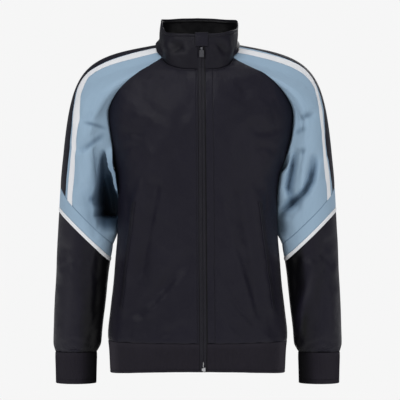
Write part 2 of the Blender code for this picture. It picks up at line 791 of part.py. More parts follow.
middle = zip_row(STOP_TOP - 4.0)
x = middle[:, 0].mean()
y = middle[:, 1].min() + SET_BACK - 0.3
stop = block("zip_bottom_stop", x - 0.3, x + 4.8, y - 2.8, y, -679.5, STOP_TOP, 0.5)
bit = block("stop_pin", x - 3.4, x + 0.5, y - 1.9, y - 0.3, -678.5, STOP_TOP - 1.5, 0.4)
combine(stop, bit, "UNION")

middle = zip_row(PIN_Z - 3)
x = middle[:, 0].mean()
y = middle[:, 1].min() + SET_BACK - 0.3
slider = block("zip_slider", x - 4.6, x + 4.6, y - 2.6, y, -26.0, PIN_Z + 3.4, 0.7)
PIN_Y = y - 5.0
for side in (-1, 1):
    near, far = sorted((x + side * 2.6, x + side * 3.8))
    lug = block("lug", near, far, PIN_Y - 1.8, y - 1.5, PIN_Z - 1.9, PIN_Z + 1.9)
    combine(slider, lug, "UNION")
pin = make("pin", *rod(x - 3.2, x + 3.2, PIN_Y, PIN_Z, 0.8), METAL)
combine(slider, pin, "UNION")

tab = make("zip_pull_tab", *rod(x - 2.2, x + 2.2, PIN_Y, PIN_Z, 2.1, 16), METAL, rough=0.4, metal=0.9)
plate = block("plate", x - 4.9, x + 4.9, PIN_Y - 1.1, PIN_Y + 0.5, -32.0, PIN_Z - 3.1, 0.35)
neck_bit = block("neck_bit", x - 2.0, x + 2.0, PIN_Y - 0.9, PIN_Y + 0.4, -20.0, PIN_Z - 1.0)
combine(tab, plate, "UNION")
combine(tab, neck_bit, "UNION")
hole = make("hole", *rod(x - 4.0, x + 4.0, PIN_Y, PIN_Z, 1.15, 12), METAL)
combine(tab, hole, "DIFFERENCE")


# ---------------------------------------------------------------- chin guard and pocket welts

GUARD_HALF = 14.0
GUARD_LOW, GUARD_HIGH = -9.5, 20.5
GUARD_WALL = 1.8
ordered = np.concatenate([collar_points[:, -4:], collar_points[:, :4]], axis=1)
guard_x = x + np.linspace(-GUARD_HALF, GUARD_HALF, 7)
guard = []
for z in np.linspace(GUARD_HIGH, GUARD_LOW, 5):
    crossing = []
    for line in ordered.transpose(1, 0, 2):
        crossing.append([np.interp(min(z, 14.0), line[:, 2], line[:, k]) for k in (0, 1)])
    crossing = np.array(crossing)
    y = np.interp(guard_x, crossing[:, 0], crossing[:, 1]) - LIFT
    guard.append(np.stack([guard_x, y, z + 0 * y], 1))
guard = np.stack(guard)
shell("chin_guard", guard - BACKWARDS * GUARD_WALL, guard, NAVY)

WELT_HALF = 4.5
WELT_WALL = 1.2
WELT_LIFT = 1.1
# height, x of the middle of the welt
WELT = [(-552, 158), (-440, 143), (-330, 128)]
for side, word in ((-1, "left"), (1, "right")):
    points, normals = grids["front_" + word]
    inside = [i for i in range(SEAM_CUTS, len(points)) if -560 < points[i, -1, 2] < -320]
    rows = []
    for i in inside:
        z = points[i, -1, 2]
        at = side * (column(WELT, z, 1) + np.array([-WELT_HALF, 0, WELT_HALF]))
        order = np.argsort(points[i, :, 0])
        rows.append(
            [
                [np.interp(at, points[i, order, 0], values[i, order, k]) for k in range(3)]
                for values in (points, normals)
            ]
        )
    rows = np.array(rows).transpose(1, 0, 3, 2)
    above = WELT_LIFT + WELT_WALL
    panel("pocket_welt_" + word, rows[0], rows[1], WELT_WALL, NAVY, pulls=(0,) * 4, lift=above)
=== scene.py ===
# %% [markdown]
# # A track jacket, cell by cell
# The jacket is a thin shell round a hollow: knitted panels, ribbed bands and a zip. It is shown filled out,
# as if someone had just stepped out of it. We load the plain construction model first, because every cloth
# piece has to follow its solid. Millimetres are easier to think in for clothes, so the tables below use
# them, and only the function that makes a mesh turns them into metres.

# %% Load the plain model
import math

import bpy
import numpy as np
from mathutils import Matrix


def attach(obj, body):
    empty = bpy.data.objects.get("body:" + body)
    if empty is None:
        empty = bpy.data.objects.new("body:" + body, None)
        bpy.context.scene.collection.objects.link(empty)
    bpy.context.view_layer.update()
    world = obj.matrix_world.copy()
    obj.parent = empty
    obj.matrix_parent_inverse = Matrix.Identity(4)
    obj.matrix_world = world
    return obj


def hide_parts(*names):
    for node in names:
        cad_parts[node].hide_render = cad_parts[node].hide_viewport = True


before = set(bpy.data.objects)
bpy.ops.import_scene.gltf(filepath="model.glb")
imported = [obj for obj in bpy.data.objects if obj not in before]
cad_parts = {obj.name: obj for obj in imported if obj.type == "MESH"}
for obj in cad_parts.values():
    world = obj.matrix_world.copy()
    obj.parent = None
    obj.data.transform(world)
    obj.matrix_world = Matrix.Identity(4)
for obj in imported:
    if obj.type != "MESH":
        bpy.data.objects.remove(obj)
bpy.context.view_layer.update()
MM = 0.001

# %% [markdown]
# ## Smooth curves through short tables
# A tailor marks a few points and draws a fair curve through them. `smooth` does the same: a cubic that passes
# through every table value and never swings past it, so a chest stays a chest between two rows.


# %% A fair curve through a table
def smooth(at, keys, values):
    keys = np.asarray(keys, float)
    values = np.asarray(values, float)
    step = np.diff(keys)
    slope = np.diff(values) / step
    both = slope[:-1] * slope[1:]
    total = slope[:-1] + slope[1:]
    inner = np.where(both > 0, 2 * both / np.where(both > 0, total, 1), 0)
    tangent = np.concatenate([slope[:1], inner, slope[-1:]])
    i = np.clip(np.searchsorted(keys, at, "right") - 1, 0, len(keys) - 2)
    t = np.clip((at - keys[i]) / step[i], 0, 1)
    left = values[i] * (1 + 2 * t) * (1 - t) ** 2 + tangent[i] * step[i] * t * (1 - t) ** 2
    right = values[i + 1] * t**2 * (3 - 2 * t) + tangent[i + 1] * step[i] * t**2 * (t - 1)
    return left + right


def bell(at, middle, width):
    """1 in the middle and next to nothing two widths away."""
    return np.exp(-(((at - middle) / width) ** 2))


def length_along(line):
    """Length along a line of points from its first one."""
    return np.concatenate([[0], np.cumsum(np.linalg.norm(np.diff(line, axis=0), axis=1))])


def column(rows, at, index):
    table = np.array(rows, float)
    return smooth(at, table[:, 0], table[:, index])


print("halfway between 0 and 10:", float(smooth(0.5, [0, 1], [0, 10])))


# %% [markdown]
# ## Creases as soft lines
# Real cloth creases where it is pulled or has too much length. Each crease here is a short path of points
# with a half width and a height, and a trough simply has a negative height. Its section is a soft bell, so
# many of them add up without hard edges.


# %% Creases along paths
def creases(across, up, rows, taper=0.0):
    """Sum of all creases; with a taper they run out softly over that share of their length at both ends."""
    total = np.zeros(np.broadcast(across, up).shape)
    for path, width, height in rows:
        path = np.asarray(path, float)
        lengths = np.linalg.norm(np.diff(path, axis=0), axis=1)
        nearest = np.full(total.shape, 1e9)
        place = np.zeros(total.shape)
        for k, ((x0, z0), (x1, z1)) in enumerate(zip(path[:-1], path[1:])):
            dx, dz = x1 - x0, z1 - z0
            t = np.clip(((across - x0) * dx + (up - z0) * dz) / (dx * dx + dz * dz), 0, 1)
            off = np.hypot(across - x0 - t * dx, up - z0 - t * dz)
            place = np.where(off < nearest, (lengths[:k].sum() + t * lengths[k]) / lengths.sum(), place)
            nearest = np.minimum(nearest, off)
        ends = np.clip(np.minimum(place, 1 - place) / max(taper, 1e-6), 0, 1) if taper else 1.0
        total = total + height * np.exp(-((nearest / width) ** 2)) * ends
    return total


def drift(across, up, seed, high, shortest=34.0, longest=85.0, slant=1.0):
    """Slow uneven waves, as cloth has where nothing pulls it; most of them run down the cloth."""
    draw = np.random.default_rng(seed)
    total = np.zeros(np.broadcast(across, up).shape)
    for _ in range(7):
        length = draw.uniform(shortest, longest)
        way = draw.normal(0.0, 0.5 * slant)
        phase, bend = draw.uniform(0, 2 * math.pi, 2)
        bent = across * math.cos(way) + up * math.sin(way) + 9 * np.sin(up / 47 + bend)
        total = total + np.sin(2 * math.pi * bent / length + phase) * np.sin(up / length * 1.9 + bend)
    return high * total / 2.6


print("on the line:", float(creases(np.array(0.0), np.array(0.0), [([(-5, 0), (5, 0)], 3, 2.0)])))

# %% [markdown]
# ## The torso as a stack of sections
# A filled-out jacket is close to a barrel with flattened front and back, so each level is a squared ellipse:
# half width, depth to the front, depth to the back, and how square it is. The main drag lines run from the
# pockets up to the chest, and the back has a few of its own.

# %% Torso table
# height, half width, depth to the front, depth to the back, squareness
TORSO = [
    (-700, 184, 97, 95, 2.35), (-681, 185, 99, 97, 2.35), (-640, 187, 101, 99, 2.35),
    (-612, 190, 107, 104, 2.35), (-560, 185, 107, 104, 2.35), (-500, 178, 106, 102, 2.35),
    (-450, 174, 108, 103, 2.35), (-400, 170, 112, 106, 2.35), (-324, 168.5, 118, 114, 2.35),
    (-277, 172.5, 120, 121, 2.35), (-242, 183, 121, 125, 2.35), (-184, 196, 120, 129, 2.35),
    (-140, 200, 116, 129, 2.3), (-110, 200, 110, 126, 2.2), (-82, 198, 101, 120, 2.1),
    (-60, 192, 87, 112, 2.0), (-46, 180, 71, 104, 2.0), (-26, 150, 42, 88, 2.0), (-10, 126, 33, 76, 2.0),
    (5, 100, 26, 62, 2.0), (20, 80, 20, 50, 2.0),
]
# each fold: path across and up, half width, height
FRONT_FOLDS = [
    ([(-150, -545), (-112, -330)], 20, 4.0),
    ([(-130, -560), (-88, -300)], 16, -5.0),
    ([(-60, -330), (-20, -560)], 26, 3.0),
    ([(-118, -590), (-30, -450)], 20, -3.5),
    ([(-165, -190), (-120, -175)], 20, -3.0),
    ([(150, -545), (112, -330)], 20, 3.5),
    ([(132, -560), (92, -310)], 16, -5.0),
    ([(52, -340), (100, -560)], 24, 3.0),
    ([(120, -590), (40, -470)], 20, -3.5),
    ([(170, -185), (118, -178)], 20, -3.0),
    ([(-118, -95), (-85, -150)], 22, -2.5),
    ([(112, -90), (85, -150)], 22, -2.5),
]
BACK_FOLDS = [
    ([(-140, -300), (-40, -430)], 26, -4.0),
    ([(140, -300), (45, -440)], 26, -4.0),
    ([(-120, -560), (10, -500)], 28, -4.0),
    ([(110, -575), (-10, -540)], 24, -3.5),
    ([(-150, -200), (-100, -330)], 26, 3.5),
    ([(150, -205), (105, -330)], 26, 3.5),
]
# finer creases that only the cloth has
FRONT_CREASES = [
    ([(-86, -205), (-128, -330), (-136, -380), (-153, -560)], 9, 3.0),
    ([(-158, -290), (-140, -372)], 8, -2.8),
    ([(-88, -315), (-106, -408), (-146, -555)], 9, -4.2),
    ([(-64, -230), (-76, -330), (-110, -450)], 9, 2.2),
    ([(-20, -430), (-70, -500), (-142, -578)], 12, -4.0),
    ([(-16, -470), (-80, -545), (-140, -596)], 10, 2.6),
    ([(-18, -578), (-60, -598), (-100, -612)], 10, -2.6),
    ([(48, -326), (90, -470), (132, -598)], 10, 3.2),
    ([(60, -360), (106, -500), (138, -600)], 9, -3.6),
    ([(46, -484), (90, -550), (134, -600)], 9, -3.6),
    ([(36, -536), (70, -580), (108, -612)], 9, -2.8),
    ([(150, -300), (134, -380)], 8, -2.6),
    ([(40, -300), (60, -380), (66, -460)], 10, 2.0),
    ([(-186, -176), (-150, -190), (-110, -196)], 8, -3.0),
    ([(188, -170), (150, -184), (112, -190)], 8, -3.0),
    ([(-176, -235), (-150, -215), (-120, -212)], 9, -2.4),
    ([(172, -232), (140, -216), (110, -216)], 9, -2.4),
    ([(-150, -150), (-110, -158), (-70, -172)], 12, 2.2),
    ([(150, -148), (110, -156), (66, -176)], 12, 2.0),
    ([(-72, -68), (-96, -92), (-104, -118)], 9, -2.6),
    ([(70, -70), (94, -96), (100, -120)], 9, -2.6),
]
BACK_CREASES = [
    ([(-175, -250), (-120, -330), (-60, -372)], 10, -2.2),
    ([(172, -255), (110, -340), (50, -386)], 10, -2.0),
    ([(-165, -430), (-80, -476), (20, -490)], 11, -1.8),
    ([(150, -455), (70, -520), (0, -540)], 10, -1.6),
    ([(-150, -590), (-60, -566), (60, -585), (150, -596)], 9, -1.8),
    ([(-60, -60), (-80, -120)], 9, -1.2),
    ([(58, -62), (84, -124)], 9, -1.3),
]
print("torso levels:", len(TORSO))


# %% [markdown]
# ## From a table to a point of the torso
# A surface is a function here: give it an angle and a height and it returns a point. The creases are added
# along the surface's own direction outwards, and fade out at the sides, where front and back meet.

# %% A point on the torso
# the jacket hangs a little to one side at the chest: height, shift of the left and of the right front
LEAN = [
    (-300, 0, 0), (-272, 3.0, 1.0), (-247, 7.0, 2.5), (-210, 9.6, 4.0), (-185, 9.2, 5.2), (-160, 8.0, 5.5),
    (-136, 6.5, 5.2), (-110, 7.4, 3.8), (-86, 6.0, 4.2), (-73, 4.5, 6.0), (-61, 2.0, 8.5), (-48, 0, 9.0),
    (-30, 0, 5.0), (0, 0, 0),
]


def torso(theta, z):
    theta = np.asarray(theta, float)
    z = np.asarray(z, float) + 0 * theta
    c, s = np.cos(theta), np.sin(theta)
    half = column(TORSO, z, 1)
    depth = np.where(s >= 0, column(TORSO, z, 2), column(TORSO, z, 3))
    power = 2 / column(TORSO, z, 4)
    x = half * np.sign(c) * np.abs(c) ** power
    y = -depth * np.sign(s) * np.abs(s) ** power
    fade = np.clip(np.abs(s) * 1.6, 0, 1) ** 2 * np.clip((-40 - z) / 60, 0, 1)
    front = 1.15 * creases(x, z, FRONT_FOLDS) + 1.1 * creases(x, z, FRONT_CREASES, 0.35)
    back = creases(x, z, BACK_FOLDS) + 1.6 * creases(x, z, BACK_CREASES, 0.35)
    fold = (np.where(s >= 0, front, back) + drift(x, z, 5, 1.2) + drift(x, z, 8, 0.18, 14, 30)) * fade
    nx, ny = x / half**2, y / depth**2
    size = np.hypot(nx, ny)
    lean = np.where(x < 0, column(LEAN, z, 1), column(LEAN, z, 2))
    lean = lean * np.clip((np.abs(x) - 84) / 40, 0, 1) * np.clip(s / 0.15, 0, 1)
    return np.stack([x + fold * nx / size + lean, y + fold * ny / size, z], -1)


def theta_at(x, z):
    half = column(TORSO, z, 1)
    share = np.clip(np.abs(x) / half, 0, 1) ** (column(TORSO, z, 4) / 2)
    return np.where(x >= 0, np.arccos(share), math.pi - np.arccos(share))


def zip_edge(z, side):
    low = np.clip(-z / 680.0, 0, 1)
    return 8.0 + 4.5 * low + side * (7.0 + 1.2 * low)


print("chest front:", torso(math.pi / 2, -180.0).round(1))

# %% [markdown]
# ## Raglan seams
# A raglan sleeve runs right up to the collar, so its seam is a long curve from the neck to the underarm.
# Both edges of a seam must be the same line, so the torso and the sleeve read it from one table.

# %% Seam tables and their curves
HEM_SEAM = -622.0
HEM_END = -681.0
NECK_FRONT = -56.0
UNDERARM = -262.0
# height, share of the torso's half width
FRONT_SEAM = [
    (-26, 0.487), (-47, 0.57), (-63, 0.675), (-82, 0.79), (-102, 0.882), (-122, 0.944), (-140, 0.97),
    (-165, 0.981), (-195, 0.988), (-228, 0.995), (-250, 0.999), (-262, 1.0),
]
BACK_SEAM = [
    (5, 0.66), (-24, 0.67), (-56, 0.71), (-90, 0.80), (-125, 0.885), (-160, 0.942), (-195, 0.972),
    (-230, 0.992), (-250, 0.999), (-262, 1.0),
]
# share of the way from the middle to the seam, height of the neckline
FRONT_NECK = [(0, -56), (0.3, -54.5), (0.6, -48), (0.82, -38), (1, -26)]
BACK_NECK = [(0, 1), (0.5, 2), (0.85, 3.5), (1, 5)]


def seam_at(rows, shares, front):
    """Angle and height on a raglan seam at shares of its length."""
    table = np.array(rows, float)
    fine = np.linspace(0, len(table) - 1, 400)
    keys = np.arange(len(table))
    z = smooth(fine, keys, table[:, 0])
    wide = np.clip(smooth(fine, keys, table[:, 1]), 0, 1)
    theta = np.arccos(wide ** (column(TORSO, z, 4) / 2)) * (1 if front else -1)
    points = torso(theta, z)
    run = length_along(points)
    at = np.asarray(shares, float) * run[-1]
    return np.interp(at, run, theta), np.interp(at, run, z)


print("front seam ends at", np.round(torso(*seam_at(FRONT_SEAM, [1.0], True)), 1))

# %% [markdown]
# ## Sleeves over the shoulder and down the arm
# Below the shoulder a sleeve is a tube of ellipses. Above it, every thread runs from its place on the seam
# to its place on the first ellipse; a cubic curve with two handles gives the rounded shoulder. `turn` is
# the share of a full turn round the arm, 0 on top, positive to the front, and `w` runs down the sleeve.

# %% Sleeve tables
# station, height, distance out, Y of the middle, half width, half depth, rise of the outer side
ARM = [
    (0, -252, 230.5, 2, 53.5, 69, 27), (1, -302, 231.4, 3, 58.6, 68, 14), (2, -360, 233.6, 4, 60.4, 66, 4),
    (3, -420, 238.3, 4, 59.2, 63, 0), (4, -480, 244.0, 1, 55.5, 59, 0), (5, -540, 248.5, -4, 54.0, 55, 0),
    (6, -596, 252.5, -9, 51.5, 50, 0), (7, -626, 254.0, -12, 50.5, 43, 0),
    (8, -645, 256.0, -13, 43.5, 32, 0),
]
# turn, direction in which a thread leaves the seam (X, Y, Z), length of its first and last handle
LEAVE = [
    (0.0, 0.99, 0.0, -0.145, 0.54, 0.59), (0.075, 0.97, 0.05, -0.28, 0.54, 0.58),
    (0.2, 0.9, 0.05, -0.45, 0.45, 0.48), (0.3, 0.66, 0.4, -0.62, 0.42, 0.42),
    (0.4, 0.5, 0.58, -0.64, 0.40, 0.40), (0.47, 0.42, 0.3, -0.85, 0.36, 0.36),
    (0.5, 0.4, 0.0, -0.9, 0.35, 0.35),
]
# place down the sleeve, then as turns: black edge, first and last edge of the white tape
STRIPE = {
    ("left", 1): [
        (0, 0.0165, 0.0200, 0.0480), (0.13, 0.0196, 0.0235, 0.0490), (0.24, 0.0222, 0.0262, 0.0480),
        (0.37, 0.0236, 0.0276, 0.0470), (0.48, 0.0208, 0.0250, 0.0490), (0.54, 0.0216, 0.0262, 0.0620),
        (0.60, 0.0250, 0.0320, 0.0850), (0.65, 0.0330, 0.0480, 0.1280), (0.70, 0.0520, 0.0700, 0.1520),
        (0.76, 0.0795, 0.0980, 0.1640), (0.86, 0.1120, 0.1285, 0.1690), (0.97, 0.1170, 0.1365, 0.1710),
        (1.5, 0.1155, 0.1363, 0.1730), (2.2, 0.1140, 0.1350, 0.1702), (9, 0.1120, 0.1330, 0.1680),
    ],
    ("right", 1): [
        (0, 0.0100, 0.0205, 0.0500), (0.08, 0.0110, 0.0210, 0.0450), (0.14, 0.0125, 0.0212, 0.0455),
        (0.22, 0.0148, 0.0212, 0.0450), (0.32, 0.0150, 0.0196, 0.0450), (0.43, 0.0140, 0.0182, 0.0455),
        (0.52, 0.0180, 0.0225, 0.0500), (0.60, 0.0255, 0.0370, 0.0600), (0.66, 0.0340, 0.0560, 0.0860),
        (0.72, 0.0460, 0.0740, 0.1150), (0.78, 0.0640, 0.0960, 0.1330), (0.83, 0.0880, 0.1110, 0.1400),
        (0.91, 0.1070, 0.1180, 0.1430), (0.98, 0.1085, 0.1210, 0.1430), (1.2, 0.1000, 0.1148, 0.1436),
        (1.77, 0.0890, 0.1055, 0.1410), (2.2, 0.0800, 0.1070, 0.1385), (9, 0.0780, 0.1050, 0.1370),
    ],
    "back": [
        (0, 0.035, 0.0414, 0.0550), (0.5, 0.058, 0.0670, 0.0860), (0.8, 0.083, 0.0935, 0.1160),
        (1, 0.100, 0.1113, 0.1353), (2.2, 0.106, 0.1173, 0.1413), (9, 0.100, 0.1113, 0.1353),
    ],
}
NECK_TURN = 0.075
# turn, X, Y, Z
NECK_SIDE = [(-0.035, 75.5, 27, 7), (0, 80.5, 4, 3), (0.035, 79.0, -18, -10)]
BAND_SLANT = 0.97
BAND_AT = 625.0
BAND_TALL = 31.0
PIPING_TALL = 10.0
# front and back creases of each sleeve, as if it were the right one
SLEEVE_FOLDS = {
    "left": (
        [
            ([(202, -225), (190, -350)], 14, -9.0),
            ([(245, -218), (200, -187)], 10, -4.0),
            ([(238, -160), (200, -173)], 11, -3.0),
            ([(236, -470), (214, -600)], 16, 3.0),
            ([(276, -430), (262, -590)], 14, -3.0),
            ([(242, -223), (223, -212), (205, -202)], 5.5, -4.5),
            ([(206, -222), (203, -260), (198, -330), (204, -385)], 6, -3.5),
            ([(238, -300), (222, -350), (214, -400)], 8, -2.2),
            ([(262, -220), (258, -300)], 9, -1.3),
            ([(222, -150), (204, -160)], 6, -1.4),
            ([(226, -430), (240, -520), (238, -600)], 8, -1.8),
            ([(206, -440), (212, -540), (222, -628)], 8, -2.5),
            ([(262, -455), (286, -470)], 6, -1.3),
            ([(230, -628), (262, -618), (290, -630)], 7, -1.6),
        ],
        [
            ([(205, -240), (195, -340)], 16, -6.0),
            ([(262, -300), (215, -350)], 16, -4.0),
            ([(270, -480), (225, -520)], 16, -4.0),
            ([(276, -310), (240, -330), (205, -360)], 7, -2.0),
            ([(282, -470), (250, -490), (212, -500)], 7, -2.2),
            ([(275, -560), (235, -580)], 8, -1.6),
        ],
    ),
    "right": (
        [
            ([(209, -232), (196, -330)], 13, -8.0),
            ([(243, -242), (205, -340)], 12, -5.0),
            ([(241, -150), (209, -165)], 11, -3.0),
            ([(236, -464), (211, -602)], 16, 3.5),
            ([(272, -420), (258, -580)], 14, -3.0),
            ([(209, -228), (203, -262), (194, -288), (198, -330)], 5.5, -3.0),
            ([(243, -240), (233, -292), (206, -338), (192, -362)], 6, -3.0),
            ([(222, -240), (214, -280), (216, -300)], 7, 1.6),
            ([(240, -148), (224, -156), (206, -168)], 5, -2.0),
            ([(262, -200), (268, -280)], 9, -1.2),
            ([(238, -460), (226, -540), (212, -604)], 7, 1.8),
            ([(206, -450), (204, -540), (214, -625)], 8, -2.5),
            ([(262, -440), (284, -460)], 6, -1.4),
            ([(232, -630), (262, -618), (286, -628)], 7, -1.6),
        ],
        [
            ([(205, -235), (195, -345)], 16, -6.0),
            ([(260, -310), (212, -340)], 16, -4.0),
            ([(268, -500), (225, -470)], 16, -4.0),
            ([(272, -320), (236, -332), (204, -348)], 7, -2.0),
            ([(284, -500), (246, -480), (214, -470)], 7, -2.2),
            ([(280, -570), (240, -560)], 8, -1.6),
        ],
    ),
}
print("arm stations:", len(ARM))


# %% [markdown]
# ## From the tables to a point of the sleeve
# The raglan seam and the neckline make one closed loop, and each thread of the sleeve starts on it. The left
# sleeve is made as a right one and mirrored, but it has its own loop, because its seam lies a little
# differently.


# %% A point on the sleeve
fine_shares = np.linspace(0, 1, 200)
front_theta, front_z = seam_at(FRONT_SEAM, fine_shares, True)
front_line = torso(front_theta, front_z)
back_line = torso(*seam_at(BACK_SEAM, fine_shares, False))
seam_turns = NECK_TURN + (0.5 - NECK_TURN) * fine_shares
neck_turns = np.linspace(-NECK_TURN, NECK_TURN, 41)[1:-1]
neck_keys = np.array([(-NECK_TURN, *back_line[0]), *NECK_SIDE, (NECK_TURN, *front_line[0])])
neck_line = np.stack([smooth(neck_turns, neck_keys[:, 0], neck_keys[:, k]) for k in (1, 2, 3)], 1)
loop_turns = np.concatenate([-seam_turns[::-1], neck_turns, seam_turns])
loops = {
    "right": np.concatenate([back_line[::-1], neck_line, front_line]),
    "left": np.concatenate([back_line[::-1], neck_line, torso(math.pi - front_theta, front_z) * (-1, 1, 1)]),
}
# at the chest the sleeve's edge goes a little under the front panel, so that no light comes through the seam
loops["left"][-len(front_line) :, 0] -= 1.8 * np.clip(2 * np.sin(math.pi * fine_shares), 0, 1)


def arm(turn, station):
    angle = 2 * math.pi * turn
    z, x, y, half, depth, rise = (column(ARM, station, k) for k in range(1, 7))
    return np.stack(
        [x + half * np.cos(angle), y - depth * np.sin(angle), z + rise * np.cos(angle)], -1
    )


def sleeve_base(turn, w, word="right"):
    turn = (np.asarray(turn, float) + 0.5) % 1.0 - 0.5
    w = np.asarray(w, float) + 0 * turn
    turn = turn + 0 * w
    start = np.stack([np.interp(turn, loop_turns, loops[word][:, k]) for k in range(3)], -1)
    end = arm(turn, 0 * w)
    below = arm(turn, 0 * w + 0.05) - end
    below /= np.linalg.norm(below, axis=-1, keepdims=True)
    dx, dy, dz, out, back = (column(LEAVE, np.abs(turn), k) for k in range(1, 6))
    leave = np.stack([dx, -np.sign(turn) * dy, dz], -1)
    chord = np.linalg.norm(end - start, axis=-1)[..., None]
    one = start + leave * chord * out[..., None]
    two = end - below * chord * back[..., None]
    t = np.minimum(w, 1)[..., None]
    over = start * (1 - t) ** 3 + 3 * one * t * (1 - t) ** 2 + 3 * two * t**2 * (1 - t) + end * t**3
    return np.where((w <= 1)[..., None], over, arm(turn, np.maximum(w - 1, 0)))


def normals_of(surface, u, v, du, dv):
    across = surface(u + du, v) - surface(u - du, v)
    down = surface(u, v + dv) - surface(u, v - dv)
    made = np.cross(across, down)
    return made / np.linalg.norm(made, axis=-1, keepdims=True)


def torso_normals(theta, z):
    return -normals_of(torso, theta, z, 0.004, 1.0)


MIRROR = np.array([-1.0, 1.0, 1.0])


def step(at, start, end):
    """0 before the start, 1 after the end, smooth between them."""
    t = np.clip((at - start) / (end - start), 0, 1)
    return t * t * (3 - 2 * t)


# %% [markdown]
# ## Deep folds under the arm
# Under a hanging arm a raglan sleeve has far more cloth than it needs, and the spare cloth falls into deep
# folds. They go straight backwards, so they are pushed along Y instead of along the surface. On the left a
# three-cornered hollow opens behind a narrow strip that follows the seam; on the right two long folds meet.

# %% Underarm folds
# height, outer edge, inner edge and depth of the hollow
LEFT_HOLLOW = [
    (-400, 205, 168, 0), (-384, 209, 168, 14), (-366, 217, 167, 34), (-360, 219, 167, 70),
    (-345, 217, 167.5, 84), (-334, 221, 168.3, 84), (-318, 220, 171, 84), (-300, 215, 179, 78),
    (-276, 212, 183.5, 66), (-244, 207, 189, 40), (-222, 200, 193, 0),
]
RIGHT_DEEP = [
    ([(208, -218), (202, -245), (198, -270), (193, -300), (197, -326), (206, -334)], 6, 24),
    ([(246, -232), (243, -258), (237, -286), (226, -306), (214, -320), (197, -335), (186, -352)], 7, 23),
    ([(214, -318), (200, -334), (186, -347), (180, -362)], 9, 18),
    ([(182, -340), (178, -372), (184, -410)], 8, 14),
]
BACK_DEEP = {
    "left": [
        ([(214, -228), (200, -270), (190, -320), (186, -352)], 7, 14),
        ([(248, -250), (226, -300)], 7, 5),
    ],
    "right": [
        ([(210, -230), (196, -280), (188, -330)], 7, 13),
        ([(250, -262), (230, -318), (206, -345)], 7, 8),
    ],
}


# how dark the hollow is from its top down: height, share of the light it swallows
HOLLOW_SHADE = [
    (-350, 1.0), (-337, 0.97), (-320, 0.93), (-303, 0.87), (-286, 0.72), (-269, 0.47), (-254, 0.33),
    (-239, 0.27), (-222, 0.0),
]


# small folds that are more shadow than depth, from the seam outwards
SOFT_SHADE = {
    "left": [
        ([(240, -164), (218, -169), (188, -178)], 3.5, 0.32),
        ([(238, -222), (224, -212), (192, -186)], 5, 0.32),
        ([(228, -322), (214, -326)], 7, 0.25),
    ],
    "right": [
        ([(240, -148), (226, -151), (209, -158)], 5, 0.24),
        ([(228, -176), (216, -180), (203, -190)], 5, 0.22),
        ([(226, -226), (212, -222)], 6, 0.2),
    ],
}


def hollow_place(x, z):
    """How far across the left hollow a point lies: 0 at its outer edge, 1 beside the seam."""
    outer, inner = column(LEFT_HOLLOW, z, 1), column(LEFT_HOLLOW, z, 2)
    return (outer - x) / np.maximum(outer - inner, 1)


def left_hollow(x, z):
    """How far the hollow of the left sleeve goes back."""
    across = hollow_place(x, z)
    closed = step(z, -330, -318)
    return column(LEFT_HOLLOW, z, 3) * step(across, 0.0, 0.45) * (1 - closed * step(across, 0.84, 1.0))


def inward(turn):
    """1 on the faces of the sleeve and 0 along its top and its underside."""
    return step(np.abs(turn), 0.06, 0.12) * step(np.abs(turn), 0.5, 0.485)


def fold_shade(word, turn, x, z):
    """How much light a deep fold swallows at points of the sleeve, from 0 to 1."""
    if word == "left":
        across = hollow_place(x, z)
        closed = step(z, -330, -318)
        open_part = step(across, -0.12, 0.42) * (1 - closed * step(across, 0.97, 1.05))
        open_part = open_part * column(HOLLOW_SHADE, z, 1)
        front = open_part * np.where(z < -361, 0.62 * step(z, -402, -372), 1.0)
        near_it = 0.16 * step(across, -0.7, 0.1) * step(z, -215, -270) * step(z, -420, -370)
        front = np.maximum(front, near_it) + creases(x, z, SOFT_SHADE[word], 0.3)
    else:
        front = 0.42 * np.clip(creases(x, z, RIGHT_DEEP, 0.3) / 30, 0, 1) ** 1.2
        front = front + creases(x, z, SOFT_SHADE[word], 0.3)
    back = 0.5 * np.clip(creases(x, z, BACK_DEEP[word]) / 14, 0, 1)
    return np.where(turn > 0, front, back) * inward(turn)


# light on the lower sleeve, from its outer edge (0) to its inner edge (1): place, at the top, at the bottom;
# above 0 is darker and below 0 is lighter than the plain cloth
SLEEVE_LIGHT = {
    "left": [
        (0, -0.5, -0.5), (0.1, -0.85, -0.9), (0.27, -0.9, -0.95), (0.37, -0.2, -0.56), (0.46, 0.1, -0.33),
        (0.54, 0.25, -0.06), (0.62, 0.3, 0.33), (0.7, 0.5, 0.75), (0.78, 0.72, 0.9), (0.87, 0.93, 0.97),
        (1, 1, 1),
    ],
    "right": [
        (0, -0.9, -1.1), (0.08, -0.6, -0.7), (0.16, -0.2, -0.3), (0.35, 0.15, -0.1), (0.5, 0.1, 0.05),
        (0.62, 0.0, 0.25), (0.72, 0.75, 0.45), (0.82, 0.95, 0.6), (0.9, 0.95, 0.8), (1, 1, 1),
    ],
}
# painted highlights and painted shade in streaks down the lower sleeves, lighter along ridges and darker along
# valleys
SLEEVE_PAINTED_STREAKS = {
    "left": [
        ([(262, -500), (268, -560), (272, -620)], 9, -0.25),
        ([(240, -470), (236, -540), (244, -620)], 7, 0.15),
    ],
    "right": [
        ([(238, -470), (236, -486), (230, -515), (217, -547), (211, -578), (211, -612)], 6, -1.0),
        ([(226, -556), (223, -590), (224, -625)], 5, 0.45),
        ([(252, -478), (250, -520), (246, -560)], 8, 0.2),
    ],
}


